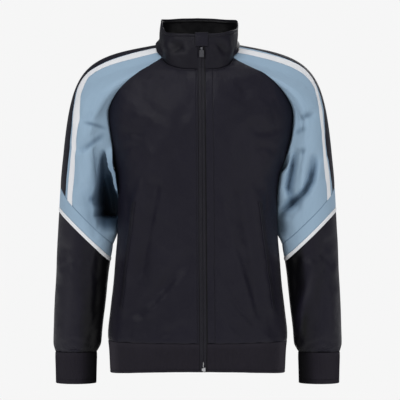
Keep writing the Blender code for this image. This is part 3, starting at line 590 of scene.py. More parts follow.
def sleeve_light(word, turn, x, z):
    """How the light falls off across the lower sleeve; the far side gets a weaker copy of it."""
    place = 0.5 - 0.5 * np.cos(2 * math.pi * turn)
    low = step(z, -470, -570)
    light = column(SLEEVE_LIGHT[word], place, 1) * (1 - low) + column(SLEEVE_LIGHT[word], place, 2) * low
    light = light + creases(x, z, SLEEVE_PAINTED_STREAKS[word], 0.3)
    away = 0.75 * step(np.abs(turn), 0.3, 0.46) - 0.4 * step(np.abs(turn), 0.2, 0.05)
    front = np.where(np.abs(turn) < 0.25, step(turn, -0.04, 0.0), turn > 0)
    return light * front + away * (1 - front)


# the same on the cuffs: place, light
CUFF_LIGHT = [
    (0, -0.45), (0.2, -0.4), (0.45, -0.2), (0.62, 0.05), (0.72, 0.4), (0.82, 0.75), (0.92, 0.95), (1, 1),
]


def edge_light(points):
    """The sides of the body are brighter below the sleeve bands, where light comes round them."""
    x, y, z = points[..., 0], points[..., 1], points[..., 2]
    share = np.abs(x) / column(TORSO, z, 1)
    return -1.9 * step(share, 0.86, 0.98) * step(z, -340, -440) * step(-y, -6, 6)


# where the face of the sleeve has come fully forward: height, distance out
FULL_FACE = [(-250, 224), (-200, 224), (-160, 220), (-130, 210), (-110, 200), (-90, 184), (-70, 170)]


def underarm(word, turn, w, points):
    """The same points with the deep folds pushed in and the inner side touching the torso."""
    x, y, z = points[..., 0], points[..., 1], points[..., 2]
    front = turn > 0
    behind = creases(x, z, BACK_DEEP[word]) * inward(turn)
    deep = (left_hollow(x, z) if word == "left" else creases(x, z, RIGHT_DEEP, 0.3)) * inward(turn)
    floor = np.maximum(y, -y - behind)
    # beside the seam the cloth comes forward at once
    edge = column(FULL_FACE, z, 1)
    full = -68 + 0.5 * np.maximum(edge - x, 0)
    low_end = step(z, -250, -215)
    if word == "right":
        low_end = np.maximum(low_end, step(z, -375, -290) * step(turn, 0.49, 0.43))
    share = 0.75 * step(w, 0.0, 0.05) * low_end * step(z, -72, -95) * step(x, edge + 6, edge - 8)
    face = y + share * (np.minimum(y, full) - y)
    points = points.copy()
    points[..., 1] = np.where(front, np.minimum(face + deep, np.maximum(floor, face)), y - behind)
    close = step(z, -424, -396) * step(z, -258, -272) * step(np.abs(turn), 0.36, 0.45)
    points[..., 0] -= 6.0 * close
    if word == "left":
        strip = step(z, -326, -308) * step(z, -206, -226) * step(turn, 0.36, 0.385)
        strip = strip * (x < column(LEFT_HOLLOW, z, 2) + 1) * step(w, 0.0, 0.03)
        points[..., 1] += strip * (np.minimum(points[..., 1], -46.0) - points[..., 1])
    return points


# %% [markdown]
# ## All of a sleeve's creases together
# Small creases go along the surface's direction outwards, and the deep ones straight back. The direction of
# the finished surface is then found from neighbouring points, so that walls and stitches follow each crease.


# %% Sleeve points with all their creases
def sleeve_shape(word, turn, w):
    points = sleeve_base(turn, w, word)
    normals = normals_of(lambda a, b: sleeve_base(a, b, word), turn, w, 0.006, 0.02)
    front, back = SLEEVE_FOLDS[word]
    turn = turn + 0 * w
    fade = np.clip(np.abs(np.sin(2 * math.pi * turn)) * 1.7, 0, 1) * np.clip(w * 2, 0, 1)
    x, z = points[..., 0], points[..., 2]
    height = np.where(turn > 0, creases(x, z, front), creases(x, z, back)) * 1.35
    waves = drift(x, z, 11 if word == "left" else 12, 1.1) + drift(x, z, 13, 0.4, 14, 30)
    height = (height + waves * (0.45 + 0.75 * step(z, -400, -460))) * fade
    return underarm(word, turn, w + 0 * turn, points + normals * height[..., None])


def sleeve(word, turn, w):
    """Points and outward normals of one sleeve, creases included."""
    turn = turn + 0 * w
    points = sleeve_shape(word, turn, w)
    normals = normals_of(lambda a, b: sleeve_shape(word, a, b), turn, w, 0.002, 0.008)
    if word == "left":
        return points * MIRROR, normals * MIRROR
    return points, normals


print("top of the arm:", sleeve_base(0.0, 1.0).round(1))

# %% [markdown]
# ## Colours and cloths
# A track jacket is warp-knitted polyester: a smooth face with a soft shine and very fine wales. We lay the
# wales out in metres through the UV map, so a stitch has the same size on every panel. The ribs are real
# folds of the mesh, so their cloth only needs the small loops on top.

# %% Node helpers
NAVY = (0.0062, 0.0053, 0.0122)
NAVY_LIGHT = (0.0080, 0.0069, 0.0148)
RIB = (0.0160, 0.0140, 0.0200)
RIB_LIGHT = (0.0190, 0.0168, 0.0235)
RIB_LIT = (0.060, 0.055, 0.066)
BLUE = (0.302, 0.424, 0.548)
BLUE_LIGHT = (0.322, 0.449, 0.578)
# painted shadow colour of the light blue cloth, for its deep folds
BLUE_PAINTED_SHADOW = (0.110, 0.205, 0.340)
WHITE = (0.80, 0.81, 0.84)
WHITE_LIGHT = (0.86, 0.87, 0.89)
LIT = (0.0300, 0.0285, 0.0370)
TAPE_BLACK = (0.0088, 0.0080, 0.0136)
METAL = (0.14, 0.14, 0.155)


class Tree:
    """Short calls for making and joining shader nodes."""

    def __init__(self, name):
        self.made = bpy.data.materials.new(name)
        self.made.use_nodes = True
        self.tree = self.made.node_tree
        self.shader = self.tree.nodes["Principled BSDF"]
        self.uv = self.node("ShaderNodeUVMap").outputs[0]

    def node(self, kind, **words):
        node = self.tree.nodes.new(kind)
        for word, value in words.items():
            setattr(node, word, value)
        return node

    def put(self, socket, value):
        if isinstance(value, bpy.types.NodeSocket):
            self.tree.links.new(value, socket)
        else:
            socket.default_value = value

    def scaled(self, vector, by):
        node = self.node("ShaderNodeVectorMath", operation="MULTIPLY")
        self.put(node.inputs[0], vector)
        node.inputs[1].default_value = by
        return node.outputs[0]

    def noise(self, vector, scale, detail=2.0, rough=0.5):
        node = self.node("ShaderNodeTexNoise")
        self.put(node.inputs["Vector"], vector)
        node.inputs["Scale"].default_value = scale
        node.inputs["Detail"].default_value = detail
        node.inputs["Roughness"].default_value = rough
        return node.outputs[0]

    def wave(self, vector, scale, direction, bend=0.0):
        node = self.node("ShaderNodeTexWave", bands_direction=direction)
        self.put(node.inputs["Vector"], vector)
        node.inputs["Scale"].default_value = scale
        node.inputs["Distortion"].default_value = bend
        return node.outputs["Fac"]

    def math(self, operation, one, two):
        node = self.node("ShaderNodeMath", operation=operation)
        self.put(node.inputs[0], one)
        self.put(node.inputs[1], two)
        return node.outputs[0]

    def between(self, share, low, high):
        node = self.node("ShaderNodeMapRange")
        self.put(node.inputs["Value"], share)
        node.inputs["From Min"].default_value = 0.3
        node.inputs["From Max"].default_value = 0.7
        node.inputs["To Min"].default_value = low
        node.inputs["To Max"].default_value = high
        return node.outputs[0]

    def blend(self, share, one, two):
        node = self.node("ShaderNodeMix", data_type="RGBA")
        self.put(node.inputs["Factor"], share)
        for socket, colour in ((node.inputs[6], one), (node.inputs[7], two)):
            self.put(socket, colour if isinstance(colour, bpy.types.NodeSocket) else (*colour, 1))
        return node.outputs[2]

    def bump(self, height, strength, distance, below=None):
        node = self.node("ShaderNodeBump")
        self.put(node.inputs["Height"], height)
        node.inputs["Strength"].default_value = strength
        node.inputs["Distance"].default_value = distance
        if below is not None:
            self.put(node.inputs["Normal"], below)
        return node.outputs[0]


def knit(
    name, dark, light, wale=0.0011, shine=0.02, rough=0.6, gloss=0.12, crumple=0.16, lit=LIT, deep=None
):
    """Warp knit: wales across, small loops down, uneven dye and a soft sheen; the point's shade paints shade
    into the colour, and a shade below 0 paints light into it.
    """
    t = Tree(name)
    wales = t.wave(t.uv, 0.1 * math.pi / wale, "X", 0.3)
    loops = t.wave(t.uv, 0.1 * math.pi / (wale * 0.8), "Y", 0.3)
    dye = t.noise(t.uv, 14.0, 3.0)
    fuzz = t.noise(t.uv, 900.0, 2.0)
    colour = t.blend(t.between(dye, 0.0, 1.0), dark, light)
    # painted shade: the shade attribute darkens the colour towards a near black copy; below 0 it is painted
    # light, mixing towards the lit colour
    shade = t.node("ShaderNodeAttribute", attribute_name="shade").outputs["Fac"]
    lifted = t.blend(t.math("MULTIPLY", shade, -0.4), colour, lit)
    # painted shadow: on the light blue cloth the shade first turns the colour a deeper blue
    if deep:
        lifted = t.blend(t.math("MULTIPLY", shade, 1.5), lifted, deep)
    t.put(t.shader.inputs["Base Color"], t.blend(shade, lifted, tuple(0.04 * c for c in deep or dark)))
    t.put(t.shader.inputs["Roughness"], t.between(fuzz, rough - 0.05, rough + 0.07))
    t.shader.inputs["Sheen Weight"].default_value = shine
    t.shader.inputs["Sheen Roughness"].default_value = 0.45
    t.shader.inputs["Sheen Tint"].default_value = (0.8, 0.85, 1.0, 1.0)
    t.shader.inputs["Specular IOR Level"].default_value = gloss
    cloth = t.bump(t.math("ADD", wales, t.math("MULTIPLY", loops, 0.5)), 0.35, 0.0002)
    t.put(t.shader.inputs["Normal"], t.bump(t.noise(t.uv, 45.0, 3.0), crumple, 0.004, cloth))
    return t.made


def brushed_metal(name, colour, rough):
    t = Tree(name)
    grain = t.noise(t.scaled(t.uv, (1, 12, 1)), 700.0, 2.0)
    t.put(t.shader.inputs["Base Color"], t.blend(grain, tuple(c * 0.8 for c in colour), colour))
    t.put(t.shader.inputs["Roughness"], t.between(grain, rough - 0.06, rough + 0.08))
    t.shader.inputs["Metallic"].default_value = 1.0
    t.put(t.shader.inputs["Normal"], t.bump(grain, 0.1, 0.0001))
    return t.made


navy_cloth = knit("navy_tricot", NAVY, NAVY_LIGHT, rough=0.46, gloss=0.20, shine=0.01, crumple=0.28)
rib_cloth = knit("rib_knit_cloth", RIB, RIB_LIGHT, wale=0.0009, rough=0.75, gloss=0.08, lit=RIB_LIT)
blue_cloth = knit("light_blue_tricot", BLUE, BLUE_LIGHT, deep=BLUE_PAINTED_SHADOW, shine=0.04, gloss=0.2)
white_cloth = knit("white_tape_cloth", WHITE, WHITE_LIGHT, shine=0.03, wale=0.0008)
tape_cloth = knit("zip_tape_cloth", TAPE_BLACK, (0.0108, 0.0098, 0.0155), wale=0.0007, rough=0.5, gloss=0.2)
thread = knit("sewing_thread", (0.018, 0.017, 0.024), (0.026, 0.025, 0.034), wale=0.0004, shine=0.05)
white_thread = knit("white_thread", (0.68, 0.69, 0.72), (0.76, 0.77, 0.80), wale=0.0004, shine=0.03)
zip_plastic = knit(
    "zip_coil_plastic", (0.018, 0.017, 0.023), (0.024, 0.023, 0.030), wale=0.0004, rough=0.4, gloss=0.35
)
zip_metal = brushed_metal("gunmetal", METAL, 0.38)
dark_metal = brushed_metal("black_metal", (0.012, 0.012, 0.014), 0.45)
bright_metal = brushed_metal("bright_metal", (0.60, 0.60, 0.62), 0.3)
print("materials:", len(bpy.data.materials))

# %% [markdown]
# ## From a grid of points to a closed piece of cloth
# Every panel is a grid: rows run down, columns run across. Its outside and its inside are joined round the
# edge, so the piece is a thin closed solid. Towards a seam the cloth sinks a little and puckers, because the
# thread pulls it in; at a folded edge the two sides meet in a small round.

# %% Grids that crowd together at their ends
CLOSE = np.array([0, 0.5, 1.1, 1.9, 3.0])  # millimetres from an edge


def cuts(length, pitch, first=True, last=True):
    """Shares from 0 to 1 along a length, closer together next to an edge."""
    near = CLOSE / length
    start = near if first else near[:1]
    stop = 1 - (near if last else near[:1])[::-1]
    count = max(2, int(round((stop[0] - start[-1]) * length / pitch)))
    return np.concatenate([start, np.linspace(start[-1], stop[0], count + 1)[1:-1], stop])


def run_of(grid, axis):
    """Length along the grid from its first row or column, in millimetres."""
    steps = np.linalg.norm(np.diff(grid, axis=axis), axis=-1)
    zero = np.zeros_like(np.take(steps, [0], axis=axis))
    return np.concatenate([zero, np.cumsum(steps, axis=axis)], axis=axis)


def from_edges(grid, edges):
    """For each named edge, how far every point lies from it and how far along it."""
    down, across = run_of(grid, 0), run_of(grid, 1)
    found = {
        "top": (down, across),
        "low": (down[-1:] - down, across),
        "left": (across, down),
        "right": (across[:, -1:] - across, down),
    }
    return [found[edge] for edge in edges]


def sewn(grid, edges, sink=0.8, reach=2.6, pucker=0.35, wave=13.0):
    """Depth by which cloth lies lower beside its seams, with small uneven puckers."""
    depth = np.zeros(grid.shape[:2])
    for off, along in from_edges(grid, edges):
        roll = sink * np.clip(1 - off / reach, 0, 1) ** 2
        wobble = np.sin(along * 2 * math.pi / wave) + 0.7 * np.sin(along * 2 * math.pi / (wave * 1.61) + 1.3)
        ripple = pucker * 0.5 * (1 + wobble / 1.7) * (off / 4) * np.exp(1 - off / 4) * np.exp(-off / 12)
        depth = np.maximum(depth, roll) + ripple * (off > 0)
    return depth


def seam_shade(grid, edges, high=0.6, reach=1.7):
    """The narrow shadow in a seam."""
    dark = np.zeros(grid.shape[:2])
    for off, _ in from_edges(grid, edges):
        dark = np.maximum(dark, high * np.clip(1 - off / reach, 0, 1))
    return dark


print("cuts across 190 mm:", len(cuts(190, 2.4)))

# %% [markdown]
# ## One closed piece
# A mesh wants points, faces and the place of each face's corners on the cloth. We lay the outer and the
# inner grid one over the other, join their rims with narrow faces, and turn the faces round if the volume
# comes out negative, so that all of them look outwards.

# %% Closed pieces of cloth
SHARP = 50  # degrees between two faces from which their edge stays sharp


def faces_between(a, b):
    """Quads between two equally long lines of point numbers."""
    return np.stack([a[:-1], a[1:], b[1:], b[:-1]], 1)


def solid(name, points, quads, corners, cloth, shade):
    """A mesh from points in millimetres, quads and the UV of each quad's corners in metres."""
    points = np.asarray(points, float)
    quads = np.asarray(quads, int)
    a, b, c, d = (points[quads[:, k]] for k in range(4))
    volume = np.einsum("ij,ij->i", a, np.cross(b, c) + np.cross(c, d)).sum()
    if volume < 0:
        quads, corners = quads[:, ::-1], corners[:, ::-1]
    mesh = bpy.data.meshes.new(name)
    mesh.vertices.add(len(points))
    mesh.vertices.foreach_set("co", (points * MM).astype(np.float32).ravel())
    mesh.loops.add(quads.size)
    mesh.loops.foreach_set("vertex_index", quads.astype(np.int32).ravel())
    mesh.polygons.add(len(quads))
    mesh.polygons.foreach_set("loop_start", (4 * np.arange(len(quads))).astype(np.int32))
    mesh.update(calc_edges=True)
    layer = mesh.uv_layers.new(name="metres")
    layer.data.foreach_set("uv", (corners * MM).astype(np.float32).ravel())
    mesh.polygons.foreach_set("use_smooth", np.ones(len(quads), bool))
    mesh.set_sharp_from_angle(angle=math.radians(SHARP))
    layer = mesh.attributes.new("shade", "FLOAT", "POINT")
    layer.data.foreach_set("value", np.asarray(shade, np.float32))
    mesh.materials.append(cloth)
    piece = bpy.data.objects.new(name, mesh)
    bpy.context.collection.objects.link(piece)
    return piece


def cloth_piece(name, outer, inner, cloth, closed, node, shade):
    """A closed thin piece between two grids; a closed one joins its last column to its first."""
    rows, columns = outer.shape[:2]
    number = np.arange(rows * columns).reshape(rows, columns)
    u, v = run_of(outer, 1), run_of(outer, 0)
    u = np.broadcast_to(u.mean(0), u.shape)
    if closed:
        gap = np.linalg.norm(outer[:, -1] - outer[:, 0], axis=-1).mean()
        number = np.concatenate([number, number[:, :1]], 1)
        u = np.concatenate([u, u[:, -1:] + gap], 1)
        v = np.concatenate([v, v[:, :1]], 1)
    place = np.stack([u, v], -1)
    a, b, c, d = number[:-1, :-1], number[:-1, 1:], number[1:, 1:], number[1:, :-1]
    top = np.stack([a, b, c, d], -1).reshape(-1, 4)
    uv = np.stack([place[:-1, :-1], place[:-1, 1:], place[1:, 1:], place[1:, :-1]], 2).reshape(-1, 4, 2)
    count = rows * columns
    quads, corners = [top, top[:, ::-1] + count], [uv, uv[:, ::-1]]
    rims = [(number[0], place[0], True), (number[-1], place[-1], False)]
    if not closed:
        rims += [(number[:, 0], place[:, 0], False), (number[:, -1], place[:, -1], True)]
    for line, spot, turned in rims:
        strip = faces_between(line, line + count)
        band = np.stack([spot[:-1], spot[1:], spot[1:] + [0, 1], spot[:-1] + [0, 1]], 1)
        quads.append(strip[:, ::-1] if turned else strip)
        corners.append(band[:, ::-1] if turned else band)
    points = np.concatenate([outer.reshape(-1, 3), inner.reshape(-1, 3)])
    shade = [np.broadcast_to(one, outer.shape[:2]).ravel() for one in shade]
    quads, corners = np.concatenate(quads), np.concatenate(corners)
    piece = solid(name, points, quads, corners, cloth, np.concatenate(shade))
    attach(piece, "jacket")
    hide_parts(node)
    return piece


# walls of plain and of folded rib cloth in millimetres, and the least side of a cut in metres
WALL = 1.1
RIB_WALL = 1.8
LEAST_CUT = 0.0102
EDGES = ("top", "low", "left", "right")
grids = {}


def flat_size(grid, closed=False):
    """Width, length and area of the cloth a grid was cut from, in metres."""
    if closed:
        grid = np.concatenate([grid, grid[:, :1]], 1)
    across, down = run_of(grid, 1)[:, -1], run_of(grid, 0)[-1]
    one = np.cross(grid[1:, :-1] - grid[:-1, :-1], grid[:-1, 1:] - grid[:-1, :-1])
    two = np.cross(grid[1:, :-1] - grid[1:, 1:], grid[:-1, 1:] - grid[1:, 1:])
    area = (np.linalg.norm(one, axis=-1) + np.linalg.norm(two, axis=-1)).sum() / 2
    width, length = across.max() * MM, down.max() * MM
    return round(float(width), 4), round(float(length), 4), float(area) * MM**2


def panel(
    name, grid, normals, wall, cloth, slot, sunk=0.0, folds=(), lift=0.0, closed=False, shade=(0, 0)
):
    """One piece of cloth on its solid's form: sunk beside seams, rounded where it is folded over; its shade,
    given for the outer and the inner face, paints shade into the colour, and below 0 paints light.
    """
    outer = grid + normals * (lift - sunk)[..., None] if np.ndim(sunk) else grid + normals * lift
    inner = outer - normals * wall
    thin = np.ones(grid.shape[:2])
    for off, _ in from_edges(grid, folds):
        near = 1 - np.clip(off / (wall * 0.6), 0, 1)
        thin = np.minimum(thin, np.sqrt(np.clip(1 - near**2, 0.0004, 1)))
    middle = (outer + inner) / 2
    half = (outer - inner) / 2 * thin[..., None]
    piece = cloth_piece(
        name + "_cloth", middle + half, middle - half, cloth, closed, node=name, shade=shade
    )
    width, length, area = flat_size(grid, closed)
    width, length = max(width, LEAST_CUT), max(length, LEAST_CUT)
    print(f"{name}: cut {width * 1000:.0f} x {length * 1000:.0f} mm, {area * 1e4:.0f} cm2")
    grids[name] = grid, normals


print("walls:", WALL, RIB_WALL)

# %% [markdown]
# ## The two fronts and the back
# A front runs from the zip to the raglan seam and then down the side seam. Its first row is the neckline. We
# use the same angles and heights as the solids, only far more of them, and add the fine creases.

# %% Front panels
SIDE_ROWS = cuts(360, 3.4, first=False)
NEAR_NECK = np.array([0, 0.5, 1.1, 1.9, 2.9, 3.7, 4.5, 5.3, 6.2, 8]) / 300
below = cuts(292, 3.4, first=False, last=False)[1:]
SEAM_ROWS = np.concatenate([NEAR_NECK, NEAR_NECK[-1] + (1 - NEAR_NECK[-1]) * below])


def neck_blend(z, share, rows, along_seam):
    """Bends the first rows so that the top one lies on the neckline."""
    fade = np.clip(1 - along_seam / 0.4, 0, 1) ** 2
    return z + (column(rows, np.abs(share), 1) - z[0]) * fade[:, None]


def panel_levels(start):
    return np.concatenate(
        [start + (UNDERARM - start) * SEAM_ROWS, UNDERARM + (HEM_SEAM - UNDERARM) * SIDE_ROWS[1:]]
    )


def seam_edge(rows, front):
    theta, z = seam_at(rows, SEAM_ROWS, front)
    low = UNDERARM + (HEM_SEAM - UNDERARM) * SIDE_ROWS[1:]
    return np.concatenate([theta, 0 * low]), np.concatenate([z, low])


along_seam = np.concatenate([SEAM_ROWS, np.ones(len(SIDE_ROWS) - 1)])


def gathers(across, z, level, high, wave, fall):
    """Small uneven gathers that the pull of a rib makes just above its seam."""
    ripple = np.sin(across / wave) + 0.8 * np.sin(across / wave / 1.73 + 2.0) * np.sin(across / wave / 5.1)
    return high * ripple * np.exp(-np.clip(z - level, 0, None) / fall)


# millimetres from the zip, close together at the edge and at the facing's line of stitches
BESIDE_ZIP = {
    "left": np.array([0, 0.5, 1.1, 1.9, 2.7, 3.5, 4.1, 4.7, 5.3, 6.2, 8, 10, 12, 14, 16, 18, 20, 22, 24]),
    "right": np.array(
        [0, 0.5, 1.1, 1.9, 3, 5, 7, 9, 11, 12.8, 14.2, 15.2, 15.9, 16.5, 17.1, 17.8, 19, 21.5, 24]
    ),
}
FACING_LINE = {"left": 4.4, "right": 16.2}
NECK_STITCH = 4.5
for side, word in ((-1, "left"), (1, "right")):
    level = panel_levels(NECK_FRONT)
    far_theta, far_z = seam_edge(FRONT_SEAM, True)
    near_theta = theta_at(zip_edge(level, side), level)
    far_theta = far_theta if side > 0 else math.pi - far_theta
    sweep = (far_theta - near_theta)[:, None]
    moved = torso(near_theta + 0.01 * sweep[:, 0], level) - torso(near_theta, level)
    one_share = np.linalg.norm(moved, axis=-1) / 0.01
    first = BESIDE_ZIP[word] / one_share[:, None]
    rest = 1 - (1 - first[:, -1:]) * (1 - cuts(166, 3.0, first=False)[1:])
    share = np.concatenate([first, rest], 1)
    theta = near_theta[:, None] + share * sweep
    z = neck_blend(level[:, None] + share * (far_z - level)[:, None], share, FRONT_NECK, along_seam)
    points = torso(theta, z)
    normals = torso_normals(theta, z)
    groove = bell(run_of(points, 1), FACING_LINE[word], 0.9)
    below_neck = run_of(points, 0)
    groove = np.maximum(groove, bell(below_neck, NECK_STITCH, 0.9))
    sunk = sewn(points, EDGES) - gathers(points[..., 0], z, HEM_SEAM, 0.9, 5.5, 22)
    sunk = sunk - 0.7 * bell(below_neck, 2.4, 1.2)
    # painted shade in the seams and in the stitch grooves of the facing and the neck, and painted light on the
    # lower sides from edge_light
    shade = edge_light(points) + np.maximum(0.35 * groove, seam_shade(points, EDGES, 0.8))
    sunk = sunk + 0.6 * groove
    panel(f"front_{word}", points, normals, WALL, navy_cloth, "navy_knit", sunk, shade=(shade, 0.5))

# %% [markdown]
# ## The back
# One panel covers the whole back, and it is made in the same way as the fronts, from its middle line to both
# seams. It is cut a little higher at the neck.

# %% Back panel
share = cuts(205, 3.4, first=False)
share = np.concatenate([-share[:0:-1], share])
level = panel_levels(1.0)
far_theta, far_z = seam_edge(BACK_SEAM, False)
theta = -math.pi / 2 + share * (far_theta + math.pi / 2)[:, None]
z = level[:, None] + np.abs(share) * (far_z - level)[:, None]
z = neck_blend(z, share, BACK_NECK, along_seam)
points = torso(theta, z)
normals = torso_normals(theta, z)
sunk = sewn(points, EDGES) - gathers(points[..., 0], z, HEM_SEAM, 0.9, 6.0, 24)
dark = seam_shade(points, EDGES, 0.8)
panel("back", points, normals, WALL, navy_cloth, "navy_knit", sunk, shade=(dark, 0.5))

# %% [markdown]
# ## Sleeves
# The light blue part has a front and a back, with the navy stripe panel over the arm between them. All three
# end on one slanting plane, where the light blue band, the white piping and the navy lower sleeve follow.

# %% Sleeve helpers
BAND_RISE = 13.0


def cut_at(turn_of, count, level):
    """How far down the arm each column crosses a slanting line of the band, which rises on the outside."""
    rise = BAND_RISE * np.clip(level / BAND_TALL, 0, 1)
    low = np.ones(count)
    high = np.full(count, 7.0)
    for _ in range(22):
        middle = (low + high) / 2
        turn = turn_of(middle)
        at = sleeve_base(turn, middle)
        line = level + rise * np.clip(np.cos(2 * math.pi * turn), 0, 1) ** 3
        above = at[..., 2] - BAND_SLANT * at[..., 0] + BAND_AT > line
        low = np.where(above, middle, low)
        high = np.where(above, high, middle)
    return low


def stripe_edges(word, sign, w):
    """Turns of the black edge and of both edges of the tape, in front (1) or behind (-1)."""
    rows = STRIPE[(word, sign)] if sign > 0 else STRIPE["back"]
    return tuple(column(rows, w, k) for k in (1, 2, 3))


def upper_rows(turn_of, count):
    """Rows from the raglan seam to the band for each column: turns and stations."""
    end = cut_at(turn_of, count, BAND_TALL)
    over = cuts(230, 3.4, last=False)[:, None] + np.zeros(count)
    down = 1 + (end - 1) * cuts(170, 3.4, first=False)[1:, None]
    w = np.concatenate([over, down])
    return np.stack([turn_of(row) for row in w]), w


def sleeve_panel(name, word, turn, w, cloth, slot, edges, **looks):
    points, normals = sleeve(word, turn, w)
    shade = fold_shade(word, turn, np.abs(points[..., 0]), points[..., 2])
    shade = np.maximum(shade, seam_shade(points, edges, 0.35))
    both = shade, np.maximum(shade, 0.55)
    panel(name, points, normals, WALL, cloth, slot, sewn(points, edges), shade=both, **looks)


# %% [markdown]
# ## Upper sleeves, stripe panels and tapes
# The black edge and the white tape are the same table read at different columns, so they always keep their
# distance. A tape lies on the light blue cloth and is thinner, so it is lifted by its own wall.


# %% Upper sleeves and their tapes
TAPE_WALL = 0.8
for word in ("left", "right"):
    for face, sign in (("front", 1), ("back", -1)):
        share = cuts(215, 3.2)

        def turn_of(w):
            black = stripe_edges(word, sign, w)[0]
            return sign * (black + share * (0.5 - black))

        turn, w = upper_rows(turn_of, len(share))
        sleeve_panel(
            f"sleeve_{face}_{word}", word, turn, w, blue_cloth, "light_blue_knit", EDGES
        )
        across = np.linspace(0, 1, 9)

        def tape_turn(w):
            _, first, last = stripe_edges(word, sign, w)
            return sign * (first + across * (last - first))

        turn, w = upper_rows(tape_turn, len(across))
        points, normals = sleeve(word, turn, w)
        panel(
            f"tape_{face}_{word}", points, normals, TAPE_WALL, white_cloth, "white_knit",
            folds=("left", "right"), lift=TAPE_WALL + 0.05,
        )
    share = np.concatenate([-cuts(30, 2.4, first=False)[:0:-1], cuts(30, 2.4, first=False)])

    def stripe_turn(w):
        return share * np.where(share > 0, stripe_edges(word, 1, w)[0], stripe_edges(word, -1, w)[0])

    turn, w = upper_rows(stripe_turn, len(share))
    sleeve_panel(f"stripe_panel_{word}", word, turn, w, navy_cloth, "navy_knit", EDGES)

# %% [markdown]
# ## Bands, piping and lower sleeves
# These three go all round the arm, so their last column joins the first. The rows of the band and the piping
# are parallel cuts of the sleeve by a slanting plane, and the piping swells into a small round cord.

# %% Bands, piping and lower sleeves
ROUND = 140
ARM_END, LAST_LEVEL = 9, -645
ring = np.arange(ROUND) / ROUND - 0.5 + 0.5 / ROUND
turns = 2 * math.pi * ring


def ring_turn(w):
    return ring


for word in ("left", "right"):
    levels = BAND_TALL * (1 - cuts(BAND_TALL / 1.4, 2.0))
    w = np.stack([cut_at(ring_turn, ROUND, level) for level in levels])
    turn = np.broadcast_to(ring, w.shape)
    sleeve_panel(
        f"sleeve_band_{word}", word, turn, w, blue_cloth, "light_blue_knit", ("top", "low"), closed=True
    )
    share = np.linspace(0, 1, 11)
    w = np.stack([cut_at(ring_turn, ROUND, -PIPING_TALL * one) for one in share])
    points, normals = sleeve(word, np.broadcast_to(ring, w.shape), w)
    round_top = -1.1 * np.sqrt(np.clip(1 - (2 * share - 1) ** 2, 0, 1))[:, None] + np.zeros(ROUND)
    panel(
        f"piping_{word}", points, normals, WALL, white_cloth, "white_knit", round_top + 0.3, closed=True
    )
    share = cuts(290, 3.3)[:, None]
    top = cut_at(ring_turn, ROUND, -PIPING_TALL)
    w = top + (ARM_END - top) * share
    points, normals = sleeve(word, np.broadcast_to(ring, w.shape), w)
    light = sleeve_light(word, ring + 0 * w, np.abs(points[..., 0]), points[..., 2])
    sunk = sewn(points, ("top", "low")) - gathers(
        turns * 40 + 7 * points[..., 1], points[..., 2], LAST_LEVEL, 1.0, 2.6, 13
    )
    panel(
        f"lower_sleeve_{word}", points, normals, WALL, navy_cloth, "navy_knit", sunk, closed=True,
        shade=(light + seam_shade(points, ("top", "low"), 0.8) * (1 - light), 0.5),
    )

# %% [markdown]
# ## Ribbed hem and cuffs
# Rib knit stands in small upright folds, about two millimetres apart. They are made in the mesh itself, so
# they catch the light from the side, and each band is folded over at its free edge.

# %% Rib bands
RIB_PITCH = 2.4
RIB_HIGH = 0.45
HEM_STITCH = 5.4
CUFF_RIBS = 96
CUFF_TOP, CUFF_TALL = -645, 67
CUFF_X, CUFF_Y = 256.3, -13
# how far below the origin, half width, half depth
CUFF = [(645, 43.5, 32.0), (650, 43.8, 31.5), (680, 43.0, 31.0), (712, 42.3, 30.0)]


def ribs(run, length):
    """Height of the ribs along a run of cloth, with a whole number of them in its length."""
    count = round(length / RIB_PITCH)
    return RIB_HIGH * np.cos(run / length * count * 2 * math.pi)


start = float(theta_at(zip_edge(HEM_SEAM, 1), HEM_SEAM))
stop = float(theta_at(zip_edge(HEM_SEAM, -1), HEM_SEAM)) - 2 * math.pi
fine = np.linspace(start, stop, 3000)
line = torso(fine, np.full(3000, -650.0))
hem_run = length_along(line)
even = np.linspace(0, hem_run[-1], int(hem_run[-1] / RIB_PITCH * 4))
hem_theta = np.interp(even, hem_run, fine)
hem_drop = HEM_END - 9 * np.cos(hem_theta) ** 2
near_edge = np.array([9, 7.2, 6.3, 5.4, 4.5, 3.6, 2.4, 1.6, 0.9, 0.4, 0.15, 0])
share = np.concatenate([cuts(60, 8, last=False)[:-1], 1 - near_edge / 60])
hem_z = HEM_SEAM + share[:, None] * (hem_drop - HEM_SEAM)
hem_grid_theta = np.broadcast_to(hem_theta, hem_z.shape)
hem_points = torso(hem_grid_theta, hem_z)
hem_normals = torso_normals(hem_grid_theta, hem_z)
sunk = sewn(hem_points, ("top",), pucker=0) - ribs(even, hem_run[-1]) * np.clip(share * 12, 0, 1)[:, None]
from_hem = run_of(hem_points, 0)
from_hem = from_hem[-1:] - from_hem
stitched = 0.5 * bell(from_hem, HEM_STITCH, 0.9)
sunk = sunk + stitched
dark = np.maximum(seam_shade(hem_points, ("top",), 0.9, 2.0), stitched)
# painted shade in the seam and the stitch groove; painted light over the whole band, and more at its sides;
# painted shade on the inner face
panel(
    "hem_band", hem_points, hem_normals, RIB_WALL, rib_cloth, "rib_knit", sunk, folds=("low",),
    shade=(dark - 0.3 + 0.6 * edge_light(hem_points), 0.6),
)

